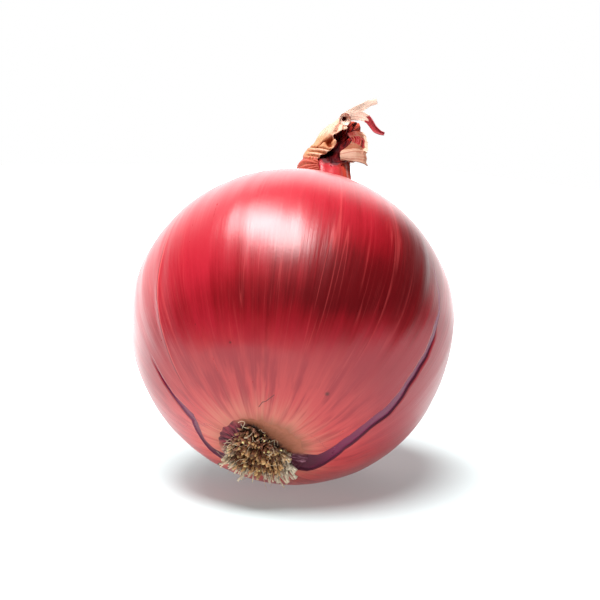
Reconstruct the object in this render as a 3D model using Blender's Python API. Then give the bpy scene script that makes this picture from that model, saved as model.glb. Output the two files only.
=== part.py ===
"""A red onion lying on its side, in four pieces that the eye can tell apart.

The fleshy bulb with its skin, the tuft of cut roots, the shrivelled leaves inside the neck and
the papery skin that wraps the neck. Every piece is modelled in the bulb's own frame, where +Z is
the neck axis and +X is the side that faces up, and an empty lays the whole onion down.
"""

import math
import random

import bmesh
import bpy
import numpy as np
from mathutils import Matrix, Vector

MM = 0.001
DEGREE = math.pi / 180

# How the onion lies
NECK_TILT = 37.2 * DEGREE  # neck axis above the surface
NECK_HEADING = 14.9 * DEGREE  # neck axis swung from +Y towards +X
REST_RADIUS = 7.0 * MM  # flat spot that it rests on

# Bulb: an ellipsoid that runs up into the neck
BULB_RADIUS = 40.2 * MM
BULB_HALF_LENGTH = 38.7 * MM
NECK_RADIUS = 4.4 * MM
NECK_RISE = 14.7 * MM  # height that the neck adds to the ellipsoid
NECK_FLARE = 3.0 * MM  # how quickly the neck spreads into the shoulder
NECK_TOP = 53.6 * MM
NECK_LEAN = 0.20  # run to the front for each unit above the foot
NECK_SIDE_LEAN = -0.06
NECK_FOOT = 40.0 * MM
FRONT_DIP = 0.8  # the neck is torn lower towards its front, by this slope
FRONT_DIP_START = 2.0 * MM
FRONT_DIP_RUN = 6.0 * MM  # height over which the slope fades out
NECK_CROWN = ((0.94, 0.4 * MM), (0.7, 0.05 * MM))  # share of the radius, drop below the top
GAP = 0.3 * MM

# Relief of the skin: two broad lobes and low ribs, each with the longitude where it starts
LOBE_TWO = 0.35 * MM
LOBE_TWO_START = 0.6
LOBE_THREE = 0.25 * MM
LOBE_THREE_START = -1.1
RIB_DEPTH = 0.12 * MM
RIB_COUNT = 14
RIB_TWIST = 2.0
SPLIT_DEPTH = 0.5 * MM
SPLIT_WALL = 0.35  # width of a split's sloping side, as a share of its half width

# Rings of the bulb's mesh, from the root end: close together at both ends
ROOT_RINGS_STOP = 30 * DEGREE
SHOULDER = 148 * DEGREE
RINGS_AT_ROOT = 6
RINGS_ON_BODY = 22
RINGS_ON_SHOULDER = 9

# Hollow at the root end, and the root plate in it
ROOT_HOLLOW_RADIUS = 9.0 * MM
ROOT_HOLLOW_FLOOR = -35.2 * MM
ROOT_DENT = 1.0 * MM
ROOT_DENT_REACH = 3.0 * MM
ROOT_SHIFT = -1.0 * MM  # the root end sits a little below the neck axis
ROOT_SHIFT_START = -28.0 * MM
ROOT_SHIFT_FULL = -35.0 * MM
PLATE_RADIUS = 8.6 * MM
PLATE_DOME = 3.0 * MM
PLATE_EDGE = -37.3 * MM
PLATE_BACK = 0.55  # share of the radius where the flat back's inner ring lies
PLATE_PROFILE = ((1.0, 0.0), (0.72, 0.6), (0.38, 0.9))  # share of the radius, share of the dome
PLATE_COLUMNS = 28
ROOT_COUNT = 96
ROOT_SIDES = 4
ROOT_SEED = 7
ROOT_REACH = 0.95  # outermost root, as a share of the plate's radius
ROOT_TURN_SPREAD = 0.12
ROOT_SPLAY = 58 * DEGREE  # lean of the roots at the rim
ROOT_SPLAY_SPREAD = (-10 * DEGREE, 12 * DEGREE)
ROOT_SWING_SPREAD = 0.5
ROOT_LENGTHS = (1.6 * MM, 3.2 * MM)
ROOT_WIDTHS = (1.1 * MM, 1.5 * MM)
ROOT_SINK = 0.9 * MM
ROOT_TAPER = (1.0, 0.95, 0.72)
ROOT_BEND = 0.22  # outward shift of the cut end, as a share of the length

# Splits in the outer skin: degrees from the root end, longitude of the middle, half width in degrees.
# Longitude turns from the upper side towards the right side.
RIGHT_SPLIT = (
    (14, 116, 7.0),
    (20, 112, 7.0),
    (25, 99, 6.0),
    (30, 92.8, 5.0),
    (40, 88.3, 3.7),
    (50, 85.7, 3.2),
    (60, 81.5, 2.1),
    (70, 78.3, 1.6),
    (80, 75.8, 1.2),
    (88, 74, 0.7),
    (103, 66, 0.5),
    (114, 47, 0.4),
)
LEFT_SPLIT = (
    (14, -122, 3.2),
    (18.5, -105, 3.0),
    (20.5, -88.8, 3.0),
    (22.5, -77, 2.5),
    (28, -67.1, 1.8),
    (38, -66.5, 1.3),
    (50, -63, 1.0),
    (64, -59.2, 0.7),
)
RIGHT_SPLIT_ENDS = (84, 114)  # full depth up to the first angle, gone at the second
LEFT_SPLIT_ENDS = (50, 72)
COLUMNS_BETWEEN_SPLITS = 26
COLUMNS_BEHIND = 27

# Neck leaves: the neck frame's front looks at this longitude and its side a quarter turn further
NECK_FRONT = 15 * DEGREE
# side, front, height along the neck axis and radius of the shrivelled core, in mm
CORE_PATH = (
    (-0.6, 2.1, 54.0, 3.2),
    (-0.6, 2.1, 55.8, 3.0),
    (-0.4, 2.0, 58.2, 2.7),
    (-0.1, 1.9, 60.6, 2.5),
    (0.3, 1.8, 62.8, 2.4),
    (1.2, 1.7, 65.2, 2.2),
    (2.2, 1.6, 67.0, 1.9),
    (2.7, 1.6, 68.6, 1.0),
)
CORE_SIDES = 16
CORE_RINGS = 15
CORE_RIDGES = 5
CORE_RIDGE_DEPTH = 0.1
CORE_RIDGE_TWIST = 3.0
CORE_OVAL = 0.06
CORE_OVAL_TWIST = 7.0
CORE_TIP = 0.6 * MM

# Papery skin round the neck. Rows from the foot up: height, middle to the side and to the front,
# radius, all in mm, then the degrees from the front where the sheet starts and where it ends
SHEATH_ROWS = (
    (41.4, -0.4, 0.6, 10.2, -19, -240),
    (44.4, -0.7, 0.7, 9.5, -17, -240),
    (47.2, -1.0, 0.8, 8.7, -13, -240),
    (50.0, -1.4, 1.0, 7.8, 0, -238),
    (52.5, -1.5, 1.2, 7.2, 7, -236),
    (55.0, -1.6, 1.5, 6.8, 7, -236),
    (57.0, -1.6, 1.9, 6.4, 0, -236),
    (58.6, -1.8, 2.4, 5.8, -24, -225),
    (60.3, -1.8, 3.1, 4.8, -12, -188),
    (62.5, -1.5, 4.0, 3.3, 20, -145),
    (64.5, -1.0, 4.7, 2.2, 60, -140),
    (66.8, -0.3, 5.4, 1.7, 85, -170),
)
SHEATH_COLUMNS = 21
SHEATH_RINGS = 23
EDGE_TUCK = 1.2 * MM  # the wrap lies closer to the neck at its front edge
EDGE_TUCK_REACH = 25 * DEGREE
EDGE_TUCK_TOP = 56 * MM
PLEAT_DEPTH = 0.35 * MM
PLEAT_LENGTH = 2.6 * MM
CUFF_HEIGHT = 54.5 * MM
CUFF_REACH = 3.5 * MM
CUFF_MIDDLE = -35 * DEGREE  # the pleats are deepest at this turn from the front
CREASE_DEPTH = 0.025
CREASE_COUNT = 7
CREASE_RISE = 4.2 * MM  # height in which the creases move on by one
PAPER = 0.62 * MM  # thickness of the papery pieces

# side, front, height along the neck axis and width of each papery ribbon, in mm
UPPER_STRIP = (
    (-2.3, 3.9, 65.2, 1.8),
    (-1.2, 4.5, 67.2, 2.2),
    (0.6, 4.9, 68.8, 2.4),
    (2.5, 5.4, 70.2, 2.3),
    (4.6, 6.0, 72.5, 2.0),
    (6.7, 6.4, 74.2, 1.7),
)
LOWER_STRIP = (
    (0.7, 6.4, 65.9, 2.2),
    (2.9, 6.4, 67.3, 2.4),
    (5.0, 7.0, 67.0, 2.4),
    (6.7, 7.8, 64.6, 2.2),
    (8.7, 8.5, 62.4, 1.8),
    (10.5, 9.0, 61.1, 0.8),
)
UPPER_STATIONS = 8
LOWER_STATIONS = 12
STRIP_BREADTH = (-0.2, 0.6, 0.77)  # direction across the strips, in the neck frame
# Folded flap: left and right end of each fold line from the top down, in mm
FLAP_FOLDS = (
    ((0.7, 6.2, 59.5), (6.2, 6.4, 62.5)),
    ((1.3, 6.3, 55.4), (7.7, 6.6, 56.7)),
    ((1.0, 7.8, 53.4), (7.5, 8.2, 55.2)),
    ((1.5, 7.6, 50.7), (8.6, 8.2, 50.6)),
)
FLAP_COLUMNS = 8
FLAP_BOW = 0.5 * MM
# The web that carries the flap from the sheath's right end: side and front, in mm
WEB_PATH = ((2.9, -3.1), (4.3, -1.4), (4.9, 1.2), (4.8, 4.2), (4.3, 6.9))
WEB_HEIGHTS = (55.2 * MM, 58.6 * MM)
WEB_COLUMNS = 9
WEB_ROWS = 4

# Colours and how rough each surface is
SKIN_RED = (0.52, 0.02, 0.035)
SKIN_ROUGHNESS = 0.3
ROOT_BUFF = (0.55, 0.4, 0.22)
ROOT_ROUGHNESS = 0.9
LEAF_MAROON = (0.1, 0.012, 0.018)
LEAF_ROUGHNESS = 0.6
PAPER_TAN = (0.72, 0.42, 0.22)
PAPER_ROUGHNESS = 0.75
SHARP_EDGE = 40 * DEGREE


def lie_axes():
    """Columns: the bulb's upper side, its right side and its neck axis, as world directions."""
    level = math.cos(NECK_TILT)
    east = level * math.sin(NECK_HEADING)
    north = level * math.cos(NECK_HEADING)
    neck = Vector((east, north, math.sin(NECK_TILT)))
    right = Vector((math.cos(NECK_HEADING), -math.sin(NECK_HEADING), 0))
    return Matrix((right.cross(neck), right, neck)).transposed()


def bulb_centre(axes):
    """The bulb's centre in the world, with the middle of the rest spot at the origin.

    The lowest point of a tilted ellipsoid lies a little towards its longer-pole side.
    """
    neck = axes.col[2]
    flattening = BULB_RADIUS**2 - BULB_HALF_LENGTH**2
    height = math.sqrt(BULB_RADIUS**2 - flattening * neck.z**2)
    lean = flattening * neck.z / height
    rest_depth = REST_RADIUS**2 / (2 * BULB_RADIUS)
    return Vector((-lean * neck.x, -lean * neck.y, height - rest_depth))


AXES = lie_axes()
CENTRE = bulb_centre(AXES)


def neck_points(side, front, along):
    """Points of the neck frame in the bulb's frame."""
    side = np.asarray(side, float)
    front = np.asarray(front, float)
    x = front * math.cos(NECK_FRONT) - side * math.sin(NECK_FRONT)
    y = front * math.sin(NECK_FRONT) + side * math.cos(NECK_FRONT)
    return np.stack(np.broadcast_arrays(x, y, along), axis=-1)


def smooth_rows(rows, count):
    """Rows of numbers read at even steps along a smooth curve through them (Catmull-Rom)."""
    rows = np.array(rows, float)
    ends = np.vstack((2 * rows[0] - rows[1], rows, 2 * rows[-1] - rows[-2]))
    place = np.linspace(0, len(rows) - 1, count)
    low = np.minimum(place.astype(int), len(rows) - 2)
    t = (place - low)[:, None]
    a, b, c, d = ends[low], ends[low + 1], ends[low + 2], ends[low + 3]
    bend = 2 * a - 5 * b + 4 * c - d
    return 0.5 * (2 * b + (c - a) * t + bend * t**2 + (3 * b - a - 3 * c + d) * t**3)


def fade(angle, ends):
    """1 before the first angle, 0 past the second."""
    start, stop = ends
    return np.clip((stop - angle) / (stop - start), 0, 1)


def material(name, colour, roughness):
    """A Principled material in a plain colour."""
    made = bpy.data.materials.new(name)
    made.use_nodes = True
    shader = made.node_tree.nodes["Principled BSDF"]
    shader.inputs["Base Color"].default_value = (*colour, 1)
    shader.inputs["Roughness"].default_value = roughness
    shader.inputs["Metallic"].default_value = 0
    return made


def mesh_object(name, points, faces, lie=None, finish=None):
    """A mesh object with its normals pointing out, laid down by its parent if one is given."""
    mesh = bpy.data.meshes.new(name)
    mesh.from_pydata([tuple(p) for p in points], [], faces)
    shell = bmesh.new()
    shell.from_mesh(mesh)
    bmesh.ops.recalc_face_normals(shell, faces=shell.faces)
    shell.to_mesh(mesh)
    shell.free()
    made = bpy.data.objects.new(name, mesh)
    bpy.context.collection.objects.link(made)
    if lie:
        made.parent = lie
    if finish:
        mesh.materials.append(finish)
    return made


def shade_round(made):
    """Smooth shading, with the sharper edges kept."""
    made.data.shade_smooth()
    made.data.set_sharp_from_angle(angle=SHARP_EDGE)


def ring_faces(ring_count, columns, first=0):
    """Quads between closed rings of points."""
    faces = []
    for ring in range(ring_count - 1):
        low = first + ring * columns
        for column in range(columns):
            after = (column + 1) % columns
            faces.append((low + column, low + after, low + columns + after, low + columns + column))
    return faces


def split_at(rows, angle):
    """Longitude of a split's middle and its half width, in degrees, at these angles from the root."""
    table = np.array(rows, float)
    return np.interp(angle, table[:, 0], table[:, 1]), np.interp(angle, table[:, 0], table[:, 2])


def bulb_columns(angle):
    """Longitudes of the columns at one angle from the root, and how much of a column lies in a split.

    Columns follow the edges of both splits, and share the skin between them evenly.
    """
    right, right_half = split_at(RIGHT_SPLIT, angle)
    left, left_half = split_at(LEFT_SPLIT, angle)
    step = SPLIT_WALL * right_half
    front = np.linspace(left + left_half, right - right_half, COLUMNS_BETWEEN_SPLITS + 1)
    band = np.array([right - right_half + step, right + right_half - step])
    back = np.linspace(right + right_half, left - left_half + 360, COLUMNS_BEHIND + 1)
    longitude = np.concatenate((front, band, back, [left + 360]))
    sunk = np.zeros(len(longitude))
    sunk[len(front) : len(front) + len(band)] = fade(angle, RIGHT_SPLIT_ENDS)
    sunk[-1] = fade(angle, LEFT_SPLIT_ENDS)
    return longitude * DEGREE, sunk


def skin_relief(angle, longitude, sunk):
    """How far the skin stands off the plain ellipsoid: broad lobes, ribs, and the two sunk splits."""
    girth = math.sin(angle) ** 2
    two = LOBE_TWO * np.cos(2 * longitude + LOBE_TWO_START)
    three = LOBE_THREE * np.cos(3 * longitude + LOBE_THREE_START)
    ribs = RIB_DEPTH * np.cos(RIB_COUNT * longitude + RIB_TWIST * angle)
    return girth * (two + three + ribs) - SPLIT_DEPTH * sunk


def skin_ring(angle):
    """One ring of the skin: the ellipsoid, the dent at the root and the rise to the neck, with relief."""
    longitude, sunk = bulb_columns(angle / DEGREE)
    radius = BULB_RADIUS * math.sin(angle)
    height = -BULB_HALF_LENGTH * math.cos(angle)
    relief = skin_relief(angle, longitude, sunk)
    ring_radius = radius + relief * math.sin(angle)
    ring_height = height - relief * math.cos(angle)
    if height < 0:
        ring_height = ring_height + ROOT_DENT * math.exp(-(radius - ROOT_HOLLOW_RADIUS) / ROOT_DENT_REACH)
    else:
        ring_height = ring_height + NECK_RISE * math.exp(-(radius - NECK_RADIUS) / NECK_FLARE)
    return np.stack((ring_radius * np.cos(longitude), ring_radius * np.sin(longitude), ring_height), axis=1)


def plain_ring(radius, height, angle):
    """A flat ring on the same longitudes as the skin's ring at this angle."""
    longitude, _ = bulb_columns(angle / DEGREE)
    level = np.full(len(longitude), height)
    return np.stack((radius * np.cos(longitude), radius * np.sin(longitude), level), axis=1)


def lean_neck(points):
    """The neck bends a little to the front as it rises."""
    above = np.maximum(points[:, 2] - NECK_FOOT, 0)
    return points + neck_points(NECK_SIDE_LEAN * above, NECK_LEAN * above, 0.0)


def dip_front(points, weight):
    """Pulls the front of the neck down along a slope, by each point's weight."""
    points = np.array(points, float)
    front = points[..., 0] * math.cos(NECK_FRONT) + points[..., 1] * math.sin(NECK_FRONT)
    points[..., 2] -= weight * FRONT_DIP * np.maximum(front - FRONT_DIP_START, 0)
    return points


def lower_root_end(points):
    """The root end slides a little down from the axis."""
    points = np.array(points, float)
    share = np.clip((points[:, 2] - ROOT_SHIFT_START) / (ROOT_SHIFT_FULL - ROOT_SHIFT_START), 0, 1)
    points[:, 0] += ROOT_SHIFT * share**2 * (3 - 2 * share)
    return points


def make_bulb(lie):
    """The fleshy bulb with its skin, its neck stub, the hollow for the roots and the flat rest spot."""
    lip = math.asin(ROOT_HOLLOW_RADIUS / BULB_RADIUS)
    stub = math.pi - math.asin(NECK_RADIUS / BULB_RADIUS)
    angles = np.concatenate(
        (
            np.linspace(lip, ROOT_RINGS_STOP, RINGS_AT_ROOT),
            np.linspace(ROOT_RINGS_STOP, SHOULDER, RINGS_ON_BODY)[1:],
            np.linspace(SHOULDER, stub, RINGS_ON_SHOULDER)[1:],
        )
    )
    rings = [
        plain_ring(0.5 * ROOT_HOLLOW_RADIUS, ROOT_HOLLOW_FLOOR, lip),
        plain_ring(ROOT_HOLLOW_RADIUS, ROOT_HOLLOW_FLOOR, lip),
    ]
    rings += [skin_ring(angle) for angle in angles]
    rings += [plain_ring(share * NECK_RADIUS, NECK_TOP - drop, stub) for share, drop in NECK_CROWN]
    columns = len(rings[0])
    points = np.vstack(rings + [[(0, 0, ROOT_HOLLOW_FLOOR), (0, 0, NECK_TOP)]])
    points = lower_root_end(lean_neck(points))
    points = dip_front(points, fade(NECK_TOP - points[:, 2], (0, FRONT_DIP_RUN)))
    floor_centre = len(points) - 2
    top_centre = len(points) - 1
    last_ring = floor_centre - columns
    faces = ring_faces(len(rings), columns)
    for column in range(columns):
        after = (column + 1) % columns
        faces.append((floor_centre, after, column))
        faces.append((top_centre, last_ring + column, last_ring + after))
    finish = material("onion_skin", SKIN_RED, SKIN_ROUGHNESS)
    bulb = mesh_object("bulb", points, faces, lie, finish)
    cut_rest_spot(bulb.data)
    shade_round(bulb)
    return bulb


def cut_rest_spot(mesh):
    """Slices the bulb off level at the surface it stands on."""
    down = AXES.transposed() @ Vector((0, 0, -1))
    on_floor = AXES.transposed() @ -CENTRE
    shell = bmesh.new()
    shell.from_mesh(mesh)
    everything = shell.verts[:] + shell.edges[:] + shell.faces[:]
    cut = bmesh.ops.bisect_plane(
        shell, geom=everything, dist=1e-6, plane_co=on_floor, plane_no=down, clear_outer=True
    )
    rim = [item for item in cut["geom_cut"] if isinstance(item, bmesh.types.BMEdge)]
    bmesh.ops.contextual_create(shell, geom=rim)
    bmesh.ops.recalc_face_normals(shell, faces=shell.faces)
    shell.to_mesh(mesh)
    shell.free()


def union_into(first, others):
    """Joins the other objects to the first with one Boolean on their collection, then removes them."""
    group = bpy.data.collections.new(first.name + "_pieces")
    for other in others:
        group.objects.link(other)
    joint = first.modifiers.new("join", "BOOLEAN")
    joint.operation = "UNION"
    joint.operand_type = "COLLECTION"
    joint.collection = group
    joint.solver = "EXACT"
    depsgraph = bpy.context.evaluated_depsgraph_get()
    joined = bpy.data.meshes.new_from_object(first.evaluated_get(depsgraph))
    first.modifiers.remove(joint)
    first.data = joined
    for other in others:
        bpy.data.objects.remove(other)
    bpy.data.collections.remove(group)


def root_plate():
    """The corky plate that the roots grow from: a domed disc."""
    back = ROOT_HOLLOW_FLOOR - GAP
    profile = [(PLATE_BACK, back), (1.0, back)]
    profile += [(share, PLATE_EDGE - dome * PLATE_DOME) for share, dome in PLATE_PROFILE]
    turn = np.arange(PLATE_COLUMNS) * 2 * math.pi / PLATE_COLUMNS
    round_plate = PLATE_RADIUS * np.stack((np.cos(turn), np.sin(turn), np.zeros(PLATE_COLUMNS)), axis=1)
    rings = [share * round_plate + (0, 0, height) for share, height in profile]
    middle = [(0, 0, back), (0, 0, PLATE_EDGE - PLATE_DOME)]
    points = np.vstack(rings + [middle])
    faces = ring_faces(len(rings), PLATE_COLUMNS)
    last = PLATE_COLUMNS * (len(rings) - 1)
    for column in range(PLATE_COLUMNS):
        after = (column + 1) % PLATE_COLUMNS
        faces.append((len(points) - 2, after, column))
        faces.append((len(points) - 1, last + column, last + after))
    return points, faces


def root_stub(foot, lean, length, thickness, twist):
    """One cut root: a slim prism, bent once, whose foot is sunk in the plate."""
    out = Vector((lean.x, lean.y, 0))
    side = lean.orthogonal().normalized()
    cross = lean.cross(side)
    stations = (
        foot - ROOT_SINK * lean,
        foot + 0.5 * length * lean,
        foot + length * lean + ROOT_BEND * length * out,
    )
    points = []
    for middle, share in zip(stations, ROOT_TAPER):
        for corner in range(ROOT_SIDES):
            turn = twist + corner * 2 * math.pi / ROOT_SIDES
            reach = 0.5 * thickness * share
            points.append(middle + reach * (math.cos(turn) * side + math.sin(turn) * cross))
    faces = ring_faces(len(stations), ROOT_SIDES)
    faces.append(tuple(reversed(range(ROOT_SIDES))))
    faces.append(tuple(range(2 * ROOT_SIDES, 3 * ROOT_SIDES)))
    return points, faces


def make_root_tuft(lie):
    """The root plate with its dry cut roots, which splay out towards the rim."""
    rng = random.Random(ROOT_SEED)
    golden_turn = math.pi * (3 - math.sqrt(5))
    points, faces = root_plate()
    finish = material("dry_roots", ROOT_BUFF, ROOT_ROUGHNESS)
    tuft = mesh_object("root_tuft", lower_root_end(points), faces, lie, finish)
    stubs = []
    for index in range(ROOT_COUNT):
        share = math.sqrt((index + 0.5) / ROOT_COUNT)
        turn = index * golden_turn + rng.uniform(-ROOT_TURN_SPREAD, ROOT_TURN_SPREAD)
        reach = ROOT_REACH * share * PLATE_RADIUS
        level = PLATE_EDGE - (1 - share**2) * PLATE_DOME
        foot = Vector((reach * math.cos(turn), reach * math.sin(turn), level))
        splay = ROOT_SPLAY * share**2 + rng.uniform(*ROOT_SPLAY_SPREAD)
        swing = turn + rng.uniform(-ROOT_SWING_SPREAD, ROOT_SWING_SPREAD)
        aside = math.sin(splay)
        lean = Vector((aside * math.cos(swing), aside * math.sin(swing), -math.cos(splay)))
        length = rng.uniform(*ROOT_LENGTHS)
        thickness = rng.uniform(*ROOT_WIDTHS)
        twist = rng.uniform(0, math.pi / 2)
        stub_points, stub_faces = root_stub(foot, lean, length, thickness, twist)
        stubs.append(mesh_object(f"root_{index}", lower_root_end(stub_points), stub_faces, lie))
    union_into(tuft, stubs)
    return tuft


def make_neck_core(lie):
    """The shrivelled inner leaves: a ridged stalk that bends over and ends in a crumpled knob."""
    rows = smooth_rows(CORE_PATH, CORE_RINGS) * MM
    path = neck_points(rows[:, 0], rows[:, 1], rows[:, 2])
    along = np.linspace(0, 1, CORE_RINGS)[:, None]
    turn = np.arange(CORE_SIDES)[None, :] * 2 * math.pi / CORE_SIDES
    ridges = CORE_RIDGE_DEPTH * np.cos(CORE_RIDGES * turn + CORE_RIDGE_TWIST * along)
    oval = CORE_OVAL * np.cos(2 * turn - CORE_OVAL_TWIST * along)
    radius = rows[:, 3][:, None] * (1 + ridges + oval)
    spread = np.stack((radius * np.cos(turn), radius * np.sin(turn), np.zeros_like(radius)), axis=-1)
    rings = path[:, None, :] + spread
    points = np.vstack((rings.reshape(-1, 3), path[:1], path[-1:] + (0, 0, CORE_TIP)))
    points = dip_front(points, fade(points[:, 2] - NECK_TOP, (GAP, FRONT_DIP_RUN)))
    foot, tip = len(points) - 2, len(points) - 1
    last = CORE_SIDES * (CORE_RINGS - 1)
    faces = ring_faces(CORE_RINGS, CORE_SIDES)
    for column in range(CORE_SIDES):
        after = (column + 1) % CORE_SIDES
        faces.append((foot, after, column))
        faces.append((tip, last + column, last + after))
    finish = material("shrivelled_leaf", LEAF_MAROON, LEAF_ROUGHNESS)
    core = mesh_object("neck_core", points, faces, lie, finish)
    shade_round(core)
    return core


def paper_sheet(grid):
    """Points and triangles of a closed sheet.

    The grid is moved half the thickness each way along its own normals, both faces are split
    into triangles alike, and the rim is closed.
    """
    normal = np.cross(np.gradient(grid, axis=0), np.gradient(grid, axis=1))
    normal /= np.linalg.norm(normal, axis=-1, keepdims=True)
    rows, columns = grid.shape[:2]
    count = rows * columns
    points = np.vstack([(grid + half * normal).reshape(-1, 3) for half in (PAPER / 2, -PAPER / 2)])
    faces = []
    for row in range(rows - 1):
        for column in range(columns - 1):
            a = row * columns + column
            b, c, d = a + 1, a + columns + 1, a + columns
            faces += [(a, c, b), (a, d, c)]
            faces += [(a + count, b + count, c + count), (a + count, c + count, d + count)]
    top = list(range(columns))
    right = [row * columns + columns - 1 for row in range(1, rows)]
    bottom = [(rows - 1) * columns + column for column in range(columns - 2, -1, -1)]
    left = [row * columns for row in range(rows - 2, 0, -1)]
    rim = top + right + bottom + left
    for here, there in zip(rim, rim[1:] + rim[:1]):
        faces += [(here, there, there + count), (here, there + count, here + count)]
    return points, faces


def sheath_grid():
    """The papery wrap: arcs round a leaning axis, open at the front right, with pleats at its cuff."""
    rows = smooth_rows(SHEATH_ROWS, SHEATH_RINGS)
    height, side, front, radius = (rows[:, index][:, None] * MM for index in range(4))
    start, stop = (rows[:, index][:, None] * DEGREE for index in (4, 5))
    turn = start + (stop - start) * np.linspace(0, 1, SHEATH_COLUMNS)[None, :]
    facing = np.clip(np.cos(turn - CUFF_MIDDLE), 0, 1)
    cuff = np.exp(-(((height - CUFF_HEIGHT) / CUFF_REACH) ** 2)) * facing
    tuck = EDGE_TUCK * np.exp((turn - start) / EDGE_TUCK_REACH) * (height < EDGE_TUCK_TOP)
    pleated = radius - tuck + PLEAT_DEPTH * cuff * np.cos(2 * math.pi * height / PLEAT_LENGTH)
    creases = CREASE_DEPTH * np.cos(CREASE_COUNT * turn + 2 * math.pi * height / CREASE_RISE)
    creased = pleated * (1 + creases)
    return neck_points(side + creased * np.sin(turn), front + creased * np.cos(turn), height)


def strip_grid(rows, stations):
    """A torn strip: a flat ribbon along its path, as wide as its rows say."""
    smooth = smooth_rows(rows, stations) * MM
    path = neck_points(smooth[:, 0], smooth[:, 1], smooth[:, 2])
    run = np.gradient(path, axis=0)
    across = neck_points(*STRIP_BREADTH) - np.zeros_like(path)
    across -= run * (np.sum(across * run, axis=1) / np.sum(run * run, axis=1))[:, None]
    across /= np.linalg.norm(across, axis=1)[:, None]
    reach = np.array([-0.5, 0, 0.5])[None, :, None] * smooth[:, 3][:, None, None]
    return path[:, None, :] + across[:, None, :] * reach


def flap_grid():
    """The folded flap at the right of the neck: straight between fold lines, bowed a little across."""
    folds = np.array(FLAP_FOLDS) * MM
    share = np.linspace(0, 1, FLAP_COLUMNS)[None, :, None]
    grid = folds[:, :1] * (1 - share) + folds[:, 1:] * share
    bow = FLAP_BOW * np.sin(math.pi * share[..., 0])
    halfway = [0.5 * (grid[i] + grid[i + 1]) for i in range(len(grid) - 1)]
    lines = [line for pair in zip(grid, halfway) for line in pair] + [grid[-1]]
    lines = np.array(lines)
    return neck_points(lines[..., 0], lines[..., 1] + bow, lines[..., 2])


def web_grid():
    """The part of the wrap that turns round the right side of the core and carries the flap."""
    plan = smooth_rows(WEB_PATH, WEB_COLUMNS) * MM
    heights = np.linspace(*WEB_HEIGHTS, WEB_ROWS)[:, None]
    return neck_points(plan[None, :, 0], plan[None, :, 1], heights)


def make_neck_skin(lie):
    """The tan papery skin of the neck: wrap, two torn strips and the folded flap in one piece."""
    finish = material("papery_skin", PAPER_TAN, PAPER_ROUGHNESS)
    skin = mesh_object("neck_skin", *paper_sheet(sheath_grid()), lie, finish)
    grids = {
        "upper_strip": strip_grid(UPPER_STRIP, UPPER_STATIONS),
        "lower_strip": strip_grid(LOWER_STRIP, LOWER_STATIONS),
        "flap": flap_grid(),
        "web": web_grid(),
    }
    pieces = [mesh_object(name, *paper_sheet(grid), lie) for name, grid in grids.items()]
    union_into(skin, pieces)
    return skin


def main():
    """Clears the scene, then models the onion and lays it down."""
    for old in list(bpy.data.objects):
        bpy.data.objects.remove(old)
    lie = bpy.data.objects.new("lie", None)
    bpy.context.collection.objects.link(lie)
    lie.matrix_world = Matrix.Translation(CENTRE) @ AXES.to_4x4()
    make_bulb(lie)
    make_root_tuft(lie)
    make_neck_core(lie)
    make_neck_skin(lie)


main()
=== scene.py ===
# %% [markdown]
# A red onion lies on its side. Its roots point at us and its dry neck points away, up and to the right.
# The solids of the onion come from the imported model. They have the right size and place, and this
# lesson dresses them: a glossy skin with veins and two splits, a tuft of cut roots, and a papery neck.
# We start by loading the model and noting the box that the solids fill.

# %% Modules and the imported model
import math

import bpy
import numpy as np
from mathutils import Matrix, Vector


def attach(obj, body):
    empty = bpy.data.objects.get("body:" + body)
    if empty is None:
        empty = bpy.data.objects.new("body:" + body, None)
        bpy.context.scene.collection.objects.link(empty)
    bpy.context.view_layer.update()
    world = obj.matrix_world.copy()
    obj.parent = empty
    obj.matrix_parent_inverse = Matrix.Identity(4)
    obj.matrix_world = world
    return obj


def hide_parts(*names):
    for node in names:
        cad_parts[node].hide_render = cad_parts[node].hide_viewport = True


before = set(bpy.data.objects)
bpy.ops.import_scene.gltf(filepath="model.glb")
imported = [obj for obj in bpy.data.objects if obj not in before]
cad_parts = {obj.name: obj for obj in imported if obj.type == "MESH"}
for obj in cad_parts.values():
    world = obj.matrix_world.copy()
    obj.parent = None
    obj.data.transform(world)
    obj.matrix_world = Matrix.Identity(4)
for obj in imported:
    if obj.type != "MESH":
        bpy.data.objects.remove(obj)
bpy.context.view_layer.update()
MM = 0.001
DEGREE = math.pi / 180
print("Solids:", ", ".join(sorted(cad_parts)))

# %% [markdown]
# Everything on an onion is arranged round the line from its roots to its neck, so we work in a frame
# of our own: x towards the side that faces up, y towards the right, z along that line to the neck.
# These few sizes place the frame, and one matrix product takes any array of points to the world.

# %% The bulb's own frame
NECK_TILT = 37.2 * DEGREE
NECK_HEADING = 14.9 * DEGREE
BULB_RADIUS = 40.2 * MM
BULB_HALF_LENGTH = 38.7 * MM
REST_RADIUS = 7.0 * MM

NECK_WAY = np.array(
    (
        math.cos(NECK_TILT) * math.sin(NECK_HEADING),
        math.cos(NECK_TILT) * math.cos(NECK_HEADING),
        math.sin(NECK_TILT),
    )
)
RIGHT_WAY = np.array((math.cos(NECK_HEADING), -math.sin(NECK_HEADING), 0.0))
AXES = np.stack((np.cross(RIGHT_WAY, NECK_WAY), RIGHT_WAY, NECK_WAY))
FLATTENING = BULB_RADIUS**2 - BULB_HALF_LENGTH**2
HEIGHT = math.sqrt(BULB_RADIUS**2 - FLATTENING * NECK_WAY[2] ** 2)
LEAN = FLATTENING * NECK_WAY[2] / HEIGHT
CENTRE = np.array((-LEAN * NECK_WAY[0], -LEAN * NECK_WAY[1], HEIGHT - REST_RADIUS**2 / (2 * BULB_RADIUS)))


def in_world(points):
    """Points of the bulb's frame in the world: the centre plus each number times its axis."""
    return CENTRE + np.asarray(points) @ AXES


print("Centre of the bulb in mm:", np.round(CENTRE / MM, 2))

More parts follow.
